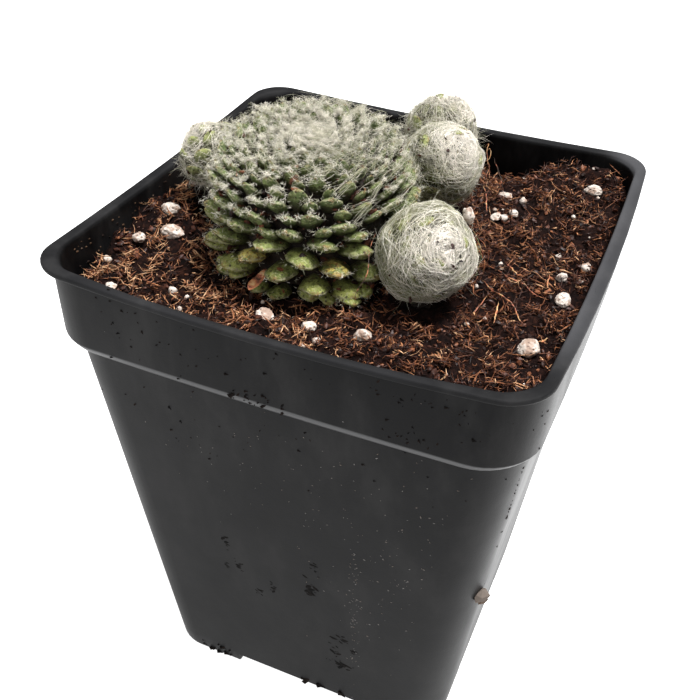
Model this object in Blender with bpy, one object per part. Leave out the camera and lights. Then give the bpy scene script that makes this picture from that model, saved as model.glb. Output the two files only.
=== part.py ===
# A potted cobweb houseleek: a wide mother rosette with four round offsets against it, in coir
# compost with perlite, in a deep square plastic pot.
# The origin is at the middle of the pot's foot and +Z is up. Lengths and places here are in
# millimetres; add_object writes them to the meshes in metres.

import math

import bmesh
import bpy
from mathutils import Matrix, Vector, noise
from mathutils.bvhtree import BVHTree

MM = 0.001
GAP = 0.3
UP = Vector((0, 0, 1))
GOLDEN_ANGLE = math.pi * (3 - math.sqrt(5))

# Colours
PLASTIC_BLACK = (0.012, 0.012, 0.013)
COIR_BROWN = (0.10, 0.035, 0.018)
LEAF_GREEN = (0.16, 0.22, 0.07)
WOOLLY_GREEN = (0.30, 0.34, 0.22)
DRY_ORANGE = (0.36, 0.13, 0.03)
PERLITE_WHITE = (0.75, 0.72, 0.68)

# The pot: half widths across its flats, the corner radii that go with them, and heights
POT_HEIGHT = 106.2
WALL = 1.5
FOOT_HALF = 32.2
FOOT_RADIUS = 7.4
FOOT_ROUND = 1.0
BODY_HALF = 41.6
BODY_RADIUS = 10.3
COLLAR_LOW_HALF = 43.1
COLLAR_TOP_HALF = 43.3
COLLAR_RADIUS = 9.5
COLLAR_HEIGHT = 16.0
SHOULDER = 1.3
RIM_HALF = 43.9
RIM_RADIUS = 7.2
RIM_DEPTH = 2.3
RIM_ROUND = 0.7
RIM_BOW = 0.6
MOUTH_HALF = 41.5
MOUTH_RADIUS = 8.0
CORNER_STEPS = 5
SIDE_STEPS = 4

# The pot's floor: a cross of channels under it leaves a foot at each corner
FLOOR_TOP = 4.5
CHANNEL_HALF = 14.5
CHANNEL_DEPTH = 3.0
DRAIN_RADIUS = 4.0
DRAIN_PLACES = ((0, 0), (22, 0), (0, 22), (-22, 0), (0, -22))

# The soil's surface: its height at the walls, its mounds and hollows as (x, y, height, spread), and
# a gentle unevenness
SOIL_EDGE = POT_HEIGHT - 7.8
MOUNDS = ((-2, 4, 3.0, 24), (-42, -12, 2.4, 14), (-31, -3, 2.0, 9), (2, 29, 2.2, 8), (37, 40, 3.0, 11),
          (15, 44, -4.0, 10))
UNEVENNESS = 0.6
UNEVEN_SPACING = 9.0
SOIL_RINGS = 10
HOLLOW_DEPTH = 2.2
HOLLOW_SPREAD = 4.0

# The mother rosette: the line that its leaf tips lie on, from the crown out and down its side,
# as (distance from its axis, height over the rim)
MOTHER_PLACE = Vector((-7.5, -8.8))
MOTHER_PROFILE = ((0, 15.6), (8, 15.7), (13.5, 15.2), (16.6, 13.2), (18.2, 9.5), (19.3, 4.0), (19.8, -1.0),
                  (19.7, -4.2), (18.9, -6.4))
MOTHER_STEM_RADIUS = 4.0
CORE_STEP = 4.0
FINE_STEP = 0.05
CORE_SIDES = 20
STEM_DEPTH = 15.0
STEM_POINT = 1.5

# Its leaves against the distance from the crown along that line: the surface that each has to
# itself, in square millimetres, and how steeply it points up, in degrees
LEAF_ROOM = ((0, 3.4), (14, 14), (24, 31), (45, 32))
LEAF_SLOPE = ((0, 89), (7, 80), (14, 62), (21, 40), (33, 8), (42, -2))
LEAF_WIDTH = 1.14
LEAF_LENGTH = 1.4
LEAF_THICKNESS = 0.32
LEAF_SINK = 0.66
THINNEST = 0.9
LEAF_SECTIONS = ((1.0, 0.32, 0.8), (0.48, 1.0, 1.0), (0.16, 0.66, 0.7))
OFFSET_CLEARANCE = 2.0

# The withered leaf lies where one of the lowest leaves has dried and dropped
WITHERED_PLACE = Vector((-9.2, -26.9, POT_HEIGHT - 6.0))
WITHERED_ROOM = 3.8
WITHERED_RUN = Vector((-1.2, -3.0, -0.6))
WITHERED_TIP = 1.6
WITHERED_SECTIONS = ((0.0, 0.5), (0.45, 1.5), (0.8, 1.0))
WITHERED_HALF_THICKNESS = 0.4

# The offsets: middle of each ball as (x, y, height over the rim), its radius, and the way that its
# crown faces
OFFSETS = {
    "offset_front_right": ((16.3, -15.8, 2.4), 8.5, (0.64, -0.52, 0.56)),
    "offset_middle": ((8.9, 13.2, 4.2), 7.9, (0.58, -0.22, 0.78)),
    "offset_back": ((3.2, 30.0, 2.8), 7.5, (0.40, 0.15, 0.90)),
    "offset_left": ((-31.0, -2.6, 4.0), 6.7, (-0.45, -0.20, 0.87)),
}
SCALE_ROOM = ((0, 5.0), (10, 19), (30, 24))
SCALE_REACH = math.radians(128)
ARC_STEPS = 24
SCALE_LENGTH = 1.5
SCALE_WIDTH = 1.15
SCALE_HALF_THICKNESS = 0.9
SCALE_SECTIONS = ((0.95, -1.5, 0.5), (0.45, -0.25, 1.0))
SCALE_TIP_LIFT = 0.35
BALL_SINK = 0.7
OFFSET_STEM_RADIUS = 1.7

# The larger perlite grains as (x, y, width, depth)
GRAINS = (
    (-32.4, -17.2, 5.0, 3.6), (-36.1, -11.0, 4.0, 3.2), (-36.9, -20.9, 2.6, 2.6), (-33.5, -35.0, 2.4, 2.2),
    (-6.2, -30.5, 3.8, 3.4), (2.2, -31.2, 2.8, 2.8), (11.0, -29.6, 3.6, 3.0), (36.6, -21.4, 3.9, 4.6),
    (38.4, -5.1, 2.9, 4.0), (35.0, 33.8, 4.4, 3.0), (19.0, 26.6, 3.2, 2.8), (19.8, 17.0, 2.2, 3.0),
    (36.5, 2.0, 2.2, 2.0), (22.4, 20.6, 2.2, 2.0),
)
GRAIN_HEIGHT = 0.8
GRAIN_SINK = 0.25
GRAIN_ROUGHNESS = 0.16


def interpolate(table, place):
    """Reads a value off a table of (place, value) rows, straight between its rows."""
    for (low, first), (high, last) in zip(table, table[1:]):
        if place <= high:
            return first + (last - first) * (place - low) / (high - low)
    return table[-1][1]


def add_object(name, bm, colour, roughness):
    """Writes a bmesh in millimetres to a new object in metres, with a material of its own."""
    bmesh.ops.recalc_face_normals(bm, faces=bm.faces)
    bmesh.ops.scale(bm, vec=(MM, MM, MM), verts=bm.verts)
    mesh = bpy.data.meshes.new(name)
    bm.to_mesh(mesh)
    bm.free()
    material = bpy.data.materials.new(name)
    material.use_nodes = True
    shader = material.node_tree.nodes["Principled BSDF"]
    shader.inputs["Base Color"].default_value = (*colour, 1)
    shader.inputs["Roughness"].default_value = roughness
    mesh.materials.append(material)
    item = bpy.data.objects.new(name, mesh)
    bpy.context.scene.collection.objects.link(item)
    return item


def combine(target, parts, operation):
    """Joins closed parts to target, or cuts them from it, in one Boolean, and removes them."""
    group = bpy.data.collections.new("parts_of_" + target.name)
    bpy.context.scene.collection.children.link(group)
    for part in parts:
        bpy.context.scene.collection.objects.unlink(part)
        group.objects.link(part)
    modifier = target.modifiers.new("combine", "BOOLEAN")
    modifier.operation = operation
    modifier.solver = "EXACT"
    modifier.operand_type = "COLLECTION"
    modifier.collection = group
    depsgraph = bpy.context.evaluated_depsgraph_get()
    mesh = bpy.data.meshes.new_from_object(target.evaluated_get(depsgraph))
    target.modifiers.clear()
    target.data = mesh
    for part in parts:
        bpy.data.objects.remove(part)
    bpy.data.collections.remove(group)


def shade_round(item, angle=math.radians(35)):
    item.data.shade_smooth()
    item.data.set_sharp_from_angle(angle=angle)


def square_ring(half, radius, height, bow=0.0):
    """The points of a square with round corners, turning left; its sides may bow out a little."""
    straight = half - radius
    points = []
    for quarter in range(4):
        turn = Matrix.Rotation(quarter * math.pi / 2, 3, "Z")
        for step in range(CORNER_STEPS + 1):
            angle = math.pi / 2 * step / CORNER_STEPS
            across, along = radius * math.cos(angle), radius * math.sin(angle)
            points.append(turn @ Vector((straight + across, straight + along, height)))
        for step in range(1, SIDE_STEPS):
            along = 1 - 2 * step / SIDE_STEPS
            points.append(turn @ Vector((straight * along, half + bow * (1 - along ** 2), height)))
    return points


def loft(rings, peak=None):
    """A closed body through rings of points, flat at its first ring, and flat or with a peak at its last."""
    bm = bmesh.new()
    loops = [[bm.verts.new(point) for point in ring] for ring in rings]
    count = len(loops[0])
    for low, high in zip(loops, loops[1:]):
        for i in range(count):
            after = (i + 1) % count
            bm.faces.new((low[i], low[after], high[after], high[i]))
    bm.faces.new(reversed(loops[0]))
    if peak is None:
        bm.faces.new(loops[-1])
    else:
        top = bm.verts.new(peak)
        for i in range(count):
            bm.faces.new((loops[-1][i], loops[-1][(i + 1) % count], top))
    return bm


def cylinder(name, x, y, radius, low, high, sides):
    """An upright cylinder between two heights."""
    bm = bmesh.new()
    place = Matrix.Translation((x, y, (low + high) / 2))
    bmesh.ops.create_cone(bm, cap_ends=True, segments=sides, radius1=radius, radius2=radius,
                          depth=high - low, matrix=place)
    return add_object(name, bm, PLASTIC_BLACK, 0.5)


def block(name, width, depth, low, high):
    """A box round the Z axis between two heights."""
    bm = bmesh.new()
    size = Matrix.Diagonal((width, depth, high - low, 1))
    bmesh.ops.create_cube(bm, size=1, matrix=Matrix.Translation((0, 0, (low + high) / 2)) @ size)
    return add_object(name, bm, PLASTIC_BLACK, 0.5)


def pot_inside():
    """The pot's inside from the floor up, as (half width, corner radius, height)."""
    shoulder = POT_HEIGHT - COLLAR_HEIGHT
    taper = (BODY_HALF - FOOT_HALF) / shoulder
    low = FOOT_HALF + taper * FLOOR_TOP - WALL
    return [
        (low, FOOT_RADIUS - WALL / 2, FLOOR_TOP),
        (BODY_HALF - WALL, BODY_RADIUS - WALL, shoulder),
        (COLLAR_LOW_HALF - WALL, COLLAR_RADIUS - WALL, shoulder + SHOULDER),
        (COLLAR_TOP_HALF - WALL, COLLAR_RADIUS - WALL, POT_HEIGHT - RIM_DEPTH),
    ]


def make_pot():
    """The square pot: one thin wall, a collar, a turned-out rim, drain holes and corner feet."""
    shoulder = POT_HEIGHT - COLLAR_HEIGHT
    outside = [
        (FOOT_HALF - FOOT_ROUND, FOOT_RADIUS - FOOT_ROUND, 0.0),
        (FOOT_HALF, FOOT_RADIUS, FOOT_ROUND),
        (BODY_HALF, BODY_RADIUS, shoulder),
        (COLLAR_LOW_HALF - SHOULDER / 3, COLLAR_RADIUS, shoulder + SHOULDER / 6),
        (COLLAR_LOW_HALF, COLLAR_RADIUS, shoulder + SHOULDER),
        (COLLAR_TOP_HALF, COLLAR_RADIUS, POT_HEIGHT - RIM_DEPTH),
        (RIM_HALF - RIM_ROUND / 3, RIM_RADIUS, POT_HEIGHT - RIM_DEPTH, RIM_BOW),
        (RIM_HALF, RIM_RADIUS, POT_HEIGHT - RIM_DEPTH + RIM_ROUND, RIM_BOW),
        (RIM_HALF, RIM_RADIUS, POT_HEIGHT - RIM_ROUND, RIM_BOW),
        (RIM_HALF - RIM_ROUND, RIM_RADIUS, POT_HEIGHT, RIM_BOW),
        (MOUTH_HALF + RIM_ROUND, MOUTH_RADIUS, POT_HEIGHT),
        (MOUTH_HALF, MOUTH_RADIUS, POT_HEIGHT - RIM_ROUND),
    ]
    rings = [square_ring(*ring) for ring in outside + pot_inside()[::-1]]
    pot = add_object("pot", loft(rings), PLASTIC_BLACK, 0.38)
    length = 3 * FOOT_HALF
    cutters = [
        block("channel_along", length, 2 * CHANNEL_HALF, -1, CHANNEL_DEPTH),
        block("channel_across", 2 * CHANNEL_HALF, length, -1, CHANNEL_DEPTH),
    ]
    for number, (x, y) in enumerate(DRAIN_PLACES):
        cutters.append(cylinder(f"drain_{number}", x, y, DRAIN_RADIUS, -1, FLOOR_TOP + 1, sides=16))
    combine(pot, cutters, "DIFFERENCE")
    shade_round(pot)
    return pot


def soil_height(x, y):
    """The height of the soil, which dips under the plants so that they stand clear of it."""
    height = SOIL_EDGE + UNEVENNESS * noise.noise(Vector((x, y, 0)) / UNEVEN_SPACING)
    for mound_x, mound_y, rise, spread in MOUNDS:
        height += rise * math.exp(-((x - mound_x) ** 2 + (y - mound_y) ** 2) / spread ** 2)
    lowest_leaf_out, lowest_leaf_up = MOTHER_PROFILE[-1]
    hollows = [(MOTHER_PLACE, lowest_leaf_out + HOLLOW_DEPTH, lowest_leaf_up - HOLLOW_DEPTH)]
    for place, radius, _ in OFFSETS.values():
        hollows.append((Vector(place).xy, 0.8 * radius, place[2] - radius - 0.6 * HOLLOW_DEPTH))
    for middle, reach, floor in hollows:
        beyond = max(0, (Vector((x, y)) - middle).length - reach)
        height = min(height, POT_HEIGHT + floor + beyond ** 2 / HOLLOW_SPREAD)
    return height


def make_soil(grain_cutters):
    """The soil plug, with an uneven top, a plain hole for each stem and a dimple for each grain."""
    inside = pot_inside()
    inside[0] = (inside[0][0], inside[0][1], FLOOR_TOP + GAP)
    rings = [square_ring(half - GAP, radius - GAP, height) for half, radius, height in inside[:3]]
    low_half, low_radius, low = inside[2]
    top_half, top_radius, top = inside[3]
    share = (SOIL_EDGE - low) / (top - low)
    edge = square_ring(low_half + (top_half - low_half) * share - GAP, low_radius - GAP, SOIL_EDGE)
    for number in range(SOIL_RINGS):
        part = 1 - number / SOIL_RINGS
        rings.append([Vector((p.x * part, p.y * part, soil_height(p.x * part, p.y * part))) for p in edge])
    soil = add_object("soil", loft(rings, peak=(0, 0, soil_height(0, 0))), COIR_BROWN, 0.95)
    hole_bottom = POT_HEIGHT - STEM_DEPTH - GAP
    cutters = [cylinder("mother_hole", *MOTHER_PLACE, MOTHER_STEM_RADIUS + GAP, hole_bottom,
                        POT_HEIGHT, sides=16)]
    for name, (place, _, _) in OFFSETS.items():
        cutters.append(cylinder(name + "_hole", place[0], place[1], OFFSET_STEM_RADIUS + GAP, hole_bottom,
                                POT_HEIGHT, sides=8))
    combine(soil, cutters + grain_cutters, "DIFFERENCE")
    return soil


def blade(sections, tip):
    """A closed leaf: four-sided sections, given as (middle, half width, half thickness), and a point."""
    bm = bmesh.new()
    loops = []
    for middle, across, outward in sections:
        loops.append([bm.verts.new(middle + step) for step in (across, outward, -across, -outward)])
    for low, high in zip(loops, loops[1:]):
        for i in range(4):
            after = (i + 1) % 4
            bm.faces.new((low[i], low[after], high[after], high[i]))
    bm.faces.new(reversed(loops[0]))
    point = bm.verts.new(tip)
    for i in range(4):
        bm.faces.new((loops[-1][i], loops[-1][(i + 1) % 4], point))
    return bm


def along_profile(profile, step):
    """Points along a profile a step apart, as (distance from the axis, height, distance walked)."""
    points = []
    walked = 0.0
    for (r0, z0), (r1, z1) in zip(profile, profile[1:]):
        length = math.hypot(r1 - r0, z1 - z0)
        count = max(1, round(length / step))
        for i in range(count):
            part = (i + 0.5) / count
            points.append((r0 + (r1 - r0) * part, z0 + (z1 - z0) * part, walked + length * part))
        walked += length
    return points


def leaf_places(profile, room):
    """Spreads leaves over a turned surface, a golden angle from one to the next.

    Yields each one's turn, its distance from the axis, its height, its distance from the crown
    along the profile and the surface that it has to itself.
    """
    count = 0.5
    number = 0
    passed = 0.0
    for radius, height, walked in along_profile(profile, FINE_STEP):
        share = interpolate(room, walked)
        count += math.tau * radius * 2 * (walked - passed) / share
        passed = 2 * walked - passed
        while count >= number + 1:
            yield number * GOLDEN_ANGLE, radius, height, walked, share
            number += 1


def leaf_size(walked):
    """A mother leaf's width, length, thickness and slope, by its distance from the crown."""
    width = LEAF_WIDTH * math.sqrt(interpolate(LEAF_ROOM, walked))
    slope = math.radians(interpolate(LEAF_SLOPE, walked))
    return width, LEAF_LENGTH * width, max(LEAF_THICKNESS * width, THINNEST), slope


def mother_leaf(turn, radius, height, walked):
    """The sections and the tip of one of the mother rosette's leaves."""
    width, length, thickness, slope = leaf_size(walked)
    away = Vector((math.cos(turn), math.sin(turn), 0))
    across = Vector((-math.sin(turn), math.cos(turn), 0))
    along = away * math.cos(slope) + UP * math.sin(slope)
    outward = UP * math.cos(slope) - away * math.sin(slope)
    tip = MOTHER_PLACE.to_3d() + away * radius + UP * (POT_HEIGHT + height)
    sections = []
    for back, wide, thick in LEAF_SECTIONS:
        middle = tip - along * length * back
        sections.append((middle, across * width / 2 * wide, outward * thickness / 2 * thick))
    return sections, tip


def runs_into_offset(sections, tip):
    """Whether a leaf comes too near one of the offsets."""
    points = [tip] + [middle + side * across for middle, across, _ in sections[1:] for side in (-1, 0, 1)]
    for place, radius, _ in OFFSETS.values():
        middle = Vector(place) + UP * POT_HEIGHT
        if any((point - middle).length < radius + OFFSET_CLEARANCE for point in points):
            return True
    return False


def make_mother():
    """The mother rosette: a low core on a short stem, covered with leaves in a golden spiral."""
    leaves = []
    for place in leaf_places(MOTHER_PROFILE, LEAF_ROOM):
        sections, tip = mother_leaf(*place[:4])
        if runs_into_offset(sections, tip) or (tip - WITHERED_PLACE).length < WITHERED_ROOM:
            continue
        leaves.append(add_object(f"leaf_{len(leaves)}", blade(sections, tip), LEAF_GREEN, 0.6))
    foot = POT_HEIGHT - STEM_DEPTH
    core = [(0.6 * MOTHER_STEM_RADIUS, foot), (MOTHER_STEM_RADIUS, foot + STEM_POINT),
            (MOTHER_STEM_RADIUS, POT_HEIGHT + MOTHER_PROFILE[-1][1])]
    for radius, height, walked in along_profile(MOTHER_PROFILE, CORE_STEP)[::-1]:
        _, length, _, slope = leaf_size(walked)
        sink = LEAF_SINK * length
        core.append((radius - sink * math.cos(slope), POT_HEIGHT + height - sink * math.sin(slope)))
    rings = []
    axis = MOTHER_PLACE.to_3d()
    turns = [math.tau * side / CORE_SIDES for side in range(CORE_SIDES)]
    for radius, height in core:
        rings.append([axis + Vector((radius * math.cos(turn), radius * math.sin(turn), height)) for turn in turns])
    mother = add_object("mother_rosette", loft(rings), LEAF_GREEN, 0.6)
    combine(mother, leaves, "UNION")
    return mother


def make_offset(name, place, radius, facing):
    """A round offset: a ball closed by scale leaves that point to its crown, on a short stem."""
    middle = Vector(place) + UP * POT_HEIGHT
    crown = Vector(facing).normalized()
    turned = UP.rotation_difference(crown).to_matrix()
    angles = [SCALE_REACH * step / ARC_STEPS for step in range(ARC_STEPS + 1)]
    profile = [(radius * math.sin(angle), radius * math.cos(angle)) for angle in angles]
    scales = []
    for turn, _, _, walked, share in leaf_places(profile, SCALE_ROOM):
        width = SCALE_WIDTH * math.sqrt(share)
        length = SCALE_LENGTH * math.sqrt(share)
        across = turned @ Vector((-math.sin(turn), math.cos(turn), 0))
        angle = walked / radius

        def at(back, lift):
            lean = angle + back * length / radius
            way = Vector((math.sin(lean) * math.cos(turn), math.sin(lean) * math.sin(turn), math.cos(lean)))
            return turned @ way, middle + turned @ way * (radius + lift)

        sections = []
        for back, lift, wide in SCALE_SECTIONS:
            outward, spot = at(back, lift)
            sections.append((spot, across * width / 2 * wide, outward * SCALE_HALF_THICKNESS))
        scale = blade(sections, at(0, SCALE_TIP_LIFT)[1])
        scales.append(add_object(f"{name}_{len(scales)}", scale, WOOLLY_GREEN, 0.7))
    bm = bmesh.new()
    bmesh.ops.create_uvsphere(bm, u_segments=14, v_segments=9, radius=radius - BALL_SINK,
                              matrix=Matrix.Translation(middle))
    ball = add_object(name, bm, WOOLLY_GREEN, 0.7)
    stem = cylinder(name + "_stem", middle.x, middle.y, OFFSET_STEM_RADIUS, POT_HEIGHT - STEM_DEPTH,
                    middle.z, sides=8)
    combine(ball, scales + [stem], "UNION")
    return ball


def lower_onto(item, base):
    """Lowers an object straight down until its lowest-lying corner is a gap above another."""
    corners = [vert.co for vert in base.data.vertices]
    ground = BVHTree.FromPolygons(corners, [face.vertices for face in base.data.polygons])
    drops = [ground.ray_cast(vert.co, -UP)[3] for vert in item.data.vertices]
    item.data.transform(Matrix.Translation(-UP * (min(drops) - GAP * MM)))


def make_withered_leaf(soil):
    """A dried leaf, thin and a little raised at its root, on the soil at the mother rosette's foot."""
    root = WITHERED_PLACE - WITHERED_RUN
    along = WITHERED_RUN.normalized()
    across = along.cross(UP).normalized()
    outward = across.cross(along)
    tip = WITHERED_PLACE + along * WITHERED_TIP
    sections = []
    for part, wide in WITHERED_SECTIONS:
        sections.append((root.lerp(tip, part), across * wide, outward * WITHERED_HALF_THICKNESS))
    leaf = add_object("withered_leaf", blade(sections, tip), DRY_ORANGE, 0.8)
    lower_onto(leaf, soil)
    return leaf


def grain_mesh(number, x, y, width, depth, swell):
    """An uneven grain that sits a little way into the soil, swollen by the same amount all round."""
    height = GRAIN_HEIGHT * min(width, depth)
    middle = Vector((x, y, soil_height(x, y) + height * (0.5 - GRAIN_SINK)))
    bm = bmesh.new()
    bmesh.ops.create_icosphere(bm, subdivisions=2, radius=1)
    for vert in bm.verts:
        uneven = 1 + GRAIN_ROUGHNESS * noise.noise(vert.co * 1.7 + Vector((number * 7.3, 0, 0)))
        half = Vector((width, depth, height)) / 2 * uneven
        vert.co = middle + Vector(c * (h + swell) for c, h in zip(vert.co, half))
    return bm


def make_grains():
    """The larger perlite grains, and for each the cutter that makes its dimple."""
    cutters = []
    for number, grain in enumerate(GRAINS, 1):
        add_object(f"perlite_{number:02d}", grain_mesh(number, *grain, 0), PERLITE_WHITE, 0.9)
        dimple = grain_mesh(number, *grain, GAP)
        cutters.append(add_object(f"dimple_{number:02d}", dimple, PERLITE_WHITE, 0.9))
    return cutters


def main():
    for item in list(bpy.data.objects):
        bpy.data.objects.remove(item)
    make_pot()
    soil = make_soil(make_grains())
    make_mother()
    for name, (place, radius, facing) in OFFSETS.items():
        make_offset(name, place, radius, facing)
    make_withered_leaf(soil)


main()
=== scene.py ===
import math

import bmesh
import bpy
import numpy as np
from mathutils import Matrix, Vector, noise


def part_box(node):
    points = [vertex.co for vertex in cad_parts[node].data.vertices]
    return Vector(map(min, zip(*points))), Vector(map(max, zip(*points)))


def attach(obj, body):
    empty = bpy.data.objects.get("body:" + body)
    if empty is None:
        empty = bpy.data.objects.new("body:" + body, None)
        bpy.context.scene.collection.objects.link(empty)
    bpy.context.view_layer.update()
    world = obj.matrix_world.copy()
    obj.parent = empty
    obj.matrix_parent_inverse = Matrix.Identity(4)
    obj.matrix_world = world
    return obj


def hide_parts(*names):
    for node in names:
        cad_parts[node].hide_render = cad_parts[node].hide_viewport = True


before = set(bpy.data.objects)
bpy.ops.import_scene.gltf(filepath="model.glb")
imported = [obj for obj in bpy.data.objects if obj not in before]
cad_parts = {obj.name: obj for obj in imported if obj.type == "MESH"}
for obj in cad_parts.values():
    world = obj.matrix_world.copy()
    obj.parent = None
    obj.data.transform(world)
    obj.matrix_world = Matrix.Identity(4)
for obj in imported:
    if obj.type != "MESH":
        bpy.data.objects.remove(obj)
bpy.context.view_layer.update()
bpy.ops.object.select_all(action="DESELECT")

mm = 0.001
up = Vector((0, 0, 1))
goldenAngle = math.pi * (3 - math.sqrt(5))
print("frame loaded:", len(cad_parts), "nodes")


# Helpers for modelling

def only(item):
    # makes it the one selected and active object
    bpy.ops.object.select_all(action="DESELECT")
    item.select_set(True)
    bpy.context.view_layer.objects.active = item
    return item


def settle(item, name):
    # puts an object's place, turn and size into its mesh, and names both
    only(item)
    bpy.ops.object.transform_apply(location=True, rotation=True, scale=True)
    item.name = name
    item.data.name = name
    return item


def drawUp(name, rings):
    # a closed body: its first ring is a filled circle, and each next one is extruded from the last
    bpy.ops.mesh.primitive_circle_add(vertices=len(rings[0]), radius=mm, fill_type="NGON")
    item = bpy.context.object
    bpy.ops.object.mode_set(mode="EDIT")
    before = None
    for ring in rings:
        if before is not None:
            bpy.ops.mesh.extrude_region_move()
        shape = bmesh.from_edit_mesh(item.data)
        chosen = [vert for vert in shape.verts if vert.select]
        if before is None:
            order = range(len(chosen))
        else:
            gaps = [np.linalg.norm(before - np.array(vert.co), axis=1) for vert in chosen]
            order = [int(gap.argmin()) for gap in gaps]
        for vert, number in zip(chosen, order):
            vert.co = Vector(ring[number]) * mm
        before = np.array(ring) * mm
        bmesh.update_edit_mesh(item.data)
    bpy.ops.mesh.select_all(action="SELECT")
    bpy.ops.mesh.normals_make_consistent(inside=False)
    bpy.ops.object.mode_set(mode="OBJECT")
    return settle(item, name)


def roundRing(item, ring, offset, segments):
    # rounds the edge that runs along one of the rings that a body was drawn up from
    only(item)
    bpy.ops.object.mode_set(mode="EDIT")
    bpy.ops.mesh.select_all(action="DESELECT")
    bpy.ops.mesh.select_mode(type="EDGE")
    shape = bmesh.from_edit_mesh(item.data)
    points = np.array(ring) * mm
    near = {v for v in shape.verts if np.linalg.norm(points - np.array(v.co), axis=1).min() < 0.02 * mm}
    for edge in shape.edges:
        edge.select = edge.verts[0] in near and edge.verts[1] in near
    bmesh.update_edit_mesh(item.data)
    bpy.ops.mesh.bevel(offset=offset * mm, segments=segments, affect="EDGES", clamp_overlap=False)
    bpy.ops.object.mode_set(mode="OBJECT")


def cutAway(item, cutters):
    # cuts closed bodies out of a body, and removes them
    for cutter in cutters:
        only(item)
        cut = item.modifiers.new("cut", "BOOLEAN")
        cut.solver = "EXACT"
        cut.object = cutter
        bpy.ops.object.modifier_apply(modifier=cut.name)
        bpy.data.objects.remove(cutter)


def pointsOf(item):
    # a mesh's points as an array, in its own units
    points = np.zeros(len(item.data.vertices) * 3)
    item.data.vertices.foreach_get("co", points)
    return points.reshape(-1, 3)


def repeat(name, master, places, smooth=True, keep=False, **values):
    # one mesh of many copies of a modelled piece, which is then removed unless it is kept: places
    # holds each copy's points, in millimetres, and values the numbers that a material reads, one for
    # each copy or one for each of its points
    count, size, _ = places.shape
    corners = np.zeros(len(master.data.loops), dtype=np.int64)
    master.data.loops.foreach_get("vertex_index", corners)
    starts = np.zeros(len(master.data.polygons), dtype=np.int64)
    master.data.polygons.foreach_get("loop_start", starts)
    step = np.arange(count)[:, None]
    mesh = bpy.data.meshes.new(name)
    mesh.vertices.add(count * size)
    mesh.vertices.foreach_set("co", (places * mm).astype(np.float32).ravel())
    mesh.loops.add(count * len(corners))
    mesh.loops.foreach_set("vertex_index", (corners + step * size).astype(np.int32).ravel())
    mesh.polygons.add(count * len(starts))
    mesh.polygons.foreach_set("loop_start", (starts + step * len(corners)).astype(np.int32).ravel())
    mesh.polygons.foreach_set("use_smooth", np.full(count * len(starts), smooth))
    for key, value in values.items():
        value = np.asarray(value, dtype=np.float32)
        if value.ndim == 1:
            value = np.repeat(value[:, None], size, axis=1)
        mesh.attributes.new(key, "FLOAT", "POINT").data.foreach_set("value", value.ravel())
    mesh.update(calc_edges=True)
    item = bpy.data.objects.new(name, mesh)
    bpy.context.scene.collection.objects.link(item)
    if not keep:
        bpy.data.objects.remove(master)
    return item


def unit(vectors):
    # vectors of the same directions and of length 1
    return vectors / np.maximum(np.linalg.norm(vectors, axis=-1, keepdims=True), 1e-9)


def strands(name, paths, thickness, tone):
    # a hair or thread along each path: a three-sided ball whose poles are its tips is drawn out, with
    # a ring of it at each place of the path between them
    last = paths.shape[1] - 1
    bpy.ops.mesh.primitive_uv_sphere_add(segments=3, ring_count=last, radius=1)
    strand = settle(bpy.context.object, "strand")
    points = pointsOf(strand)
    ring = np.rint(np.arccos(np.clip(points[:, 2], -1, 1)) / math.pi * last).astype(int)
    run = unit(np.gradient(paths, axis=1))
    seed = unit(np.cross(run[:, :1], [0.31, -0.58, 0.75]))
    side = unit(seed - run * (seed * run).sum(-1, keepdims=True))
    top = np.cross(side, run)
    half = np.asarray(thickness)[:, None, None] / 2
    across = points[:, 0:1] * side[:, ring] + points[:, 1:2] * top[:, ring]
    return repeat(name, strand, paths[:, ring] + half * across, tone=tone)


def anyWay(rng, normals):
    # a random unit direction square to each normal
    rough = rng.normal(size=normals.shape)
    return unit(rough - normals * (rough * normals).sum(-1, keepdims=True))


def dress(item, material, slotName, *nodes):
    # finishes a piece: its material, its body and the solids that it stands for; its slot is not used
    item.data.materials.clear()
    item.data.materials.append(material)
    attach(item, "root")
    if nodes:
        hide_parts(*nodes)
    return item


def tableAt(table, place):
    # reads a value, or an array of them, off a table of (place, value) rows, straight between rows
    value = np.interp(place, *zip(*table))
    return value if np.ndim(place) else float(value)


# Helpers for materials

class Wire:
    # one output in a material's graph, on which sums can be written
    def __init__(self, paint, socket):
        self.paint = paint
        self.socket = socket

    def maths(self, operation, first, second):
        return self.paint.node("Math", {"operation": operation}, {0: first, 1: second})

    def __add__(self, other):
        return self.maths("ADD", self, other)

    def __radd__(self, other):
        return self.maths("ADD", other, self)

    def __sub__(self, other):
        return self.maths("SUBTRACT", self, other)

    def __rsub__(self, other):
        return self.maths("SUBTRACT", other, self)

    def __mul__(self, other):
        return self.maths("MULTIPLY", self, other)

    def __rmul__(self, other):
        return self.maths("MULTIPLY", other, self)


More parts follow.
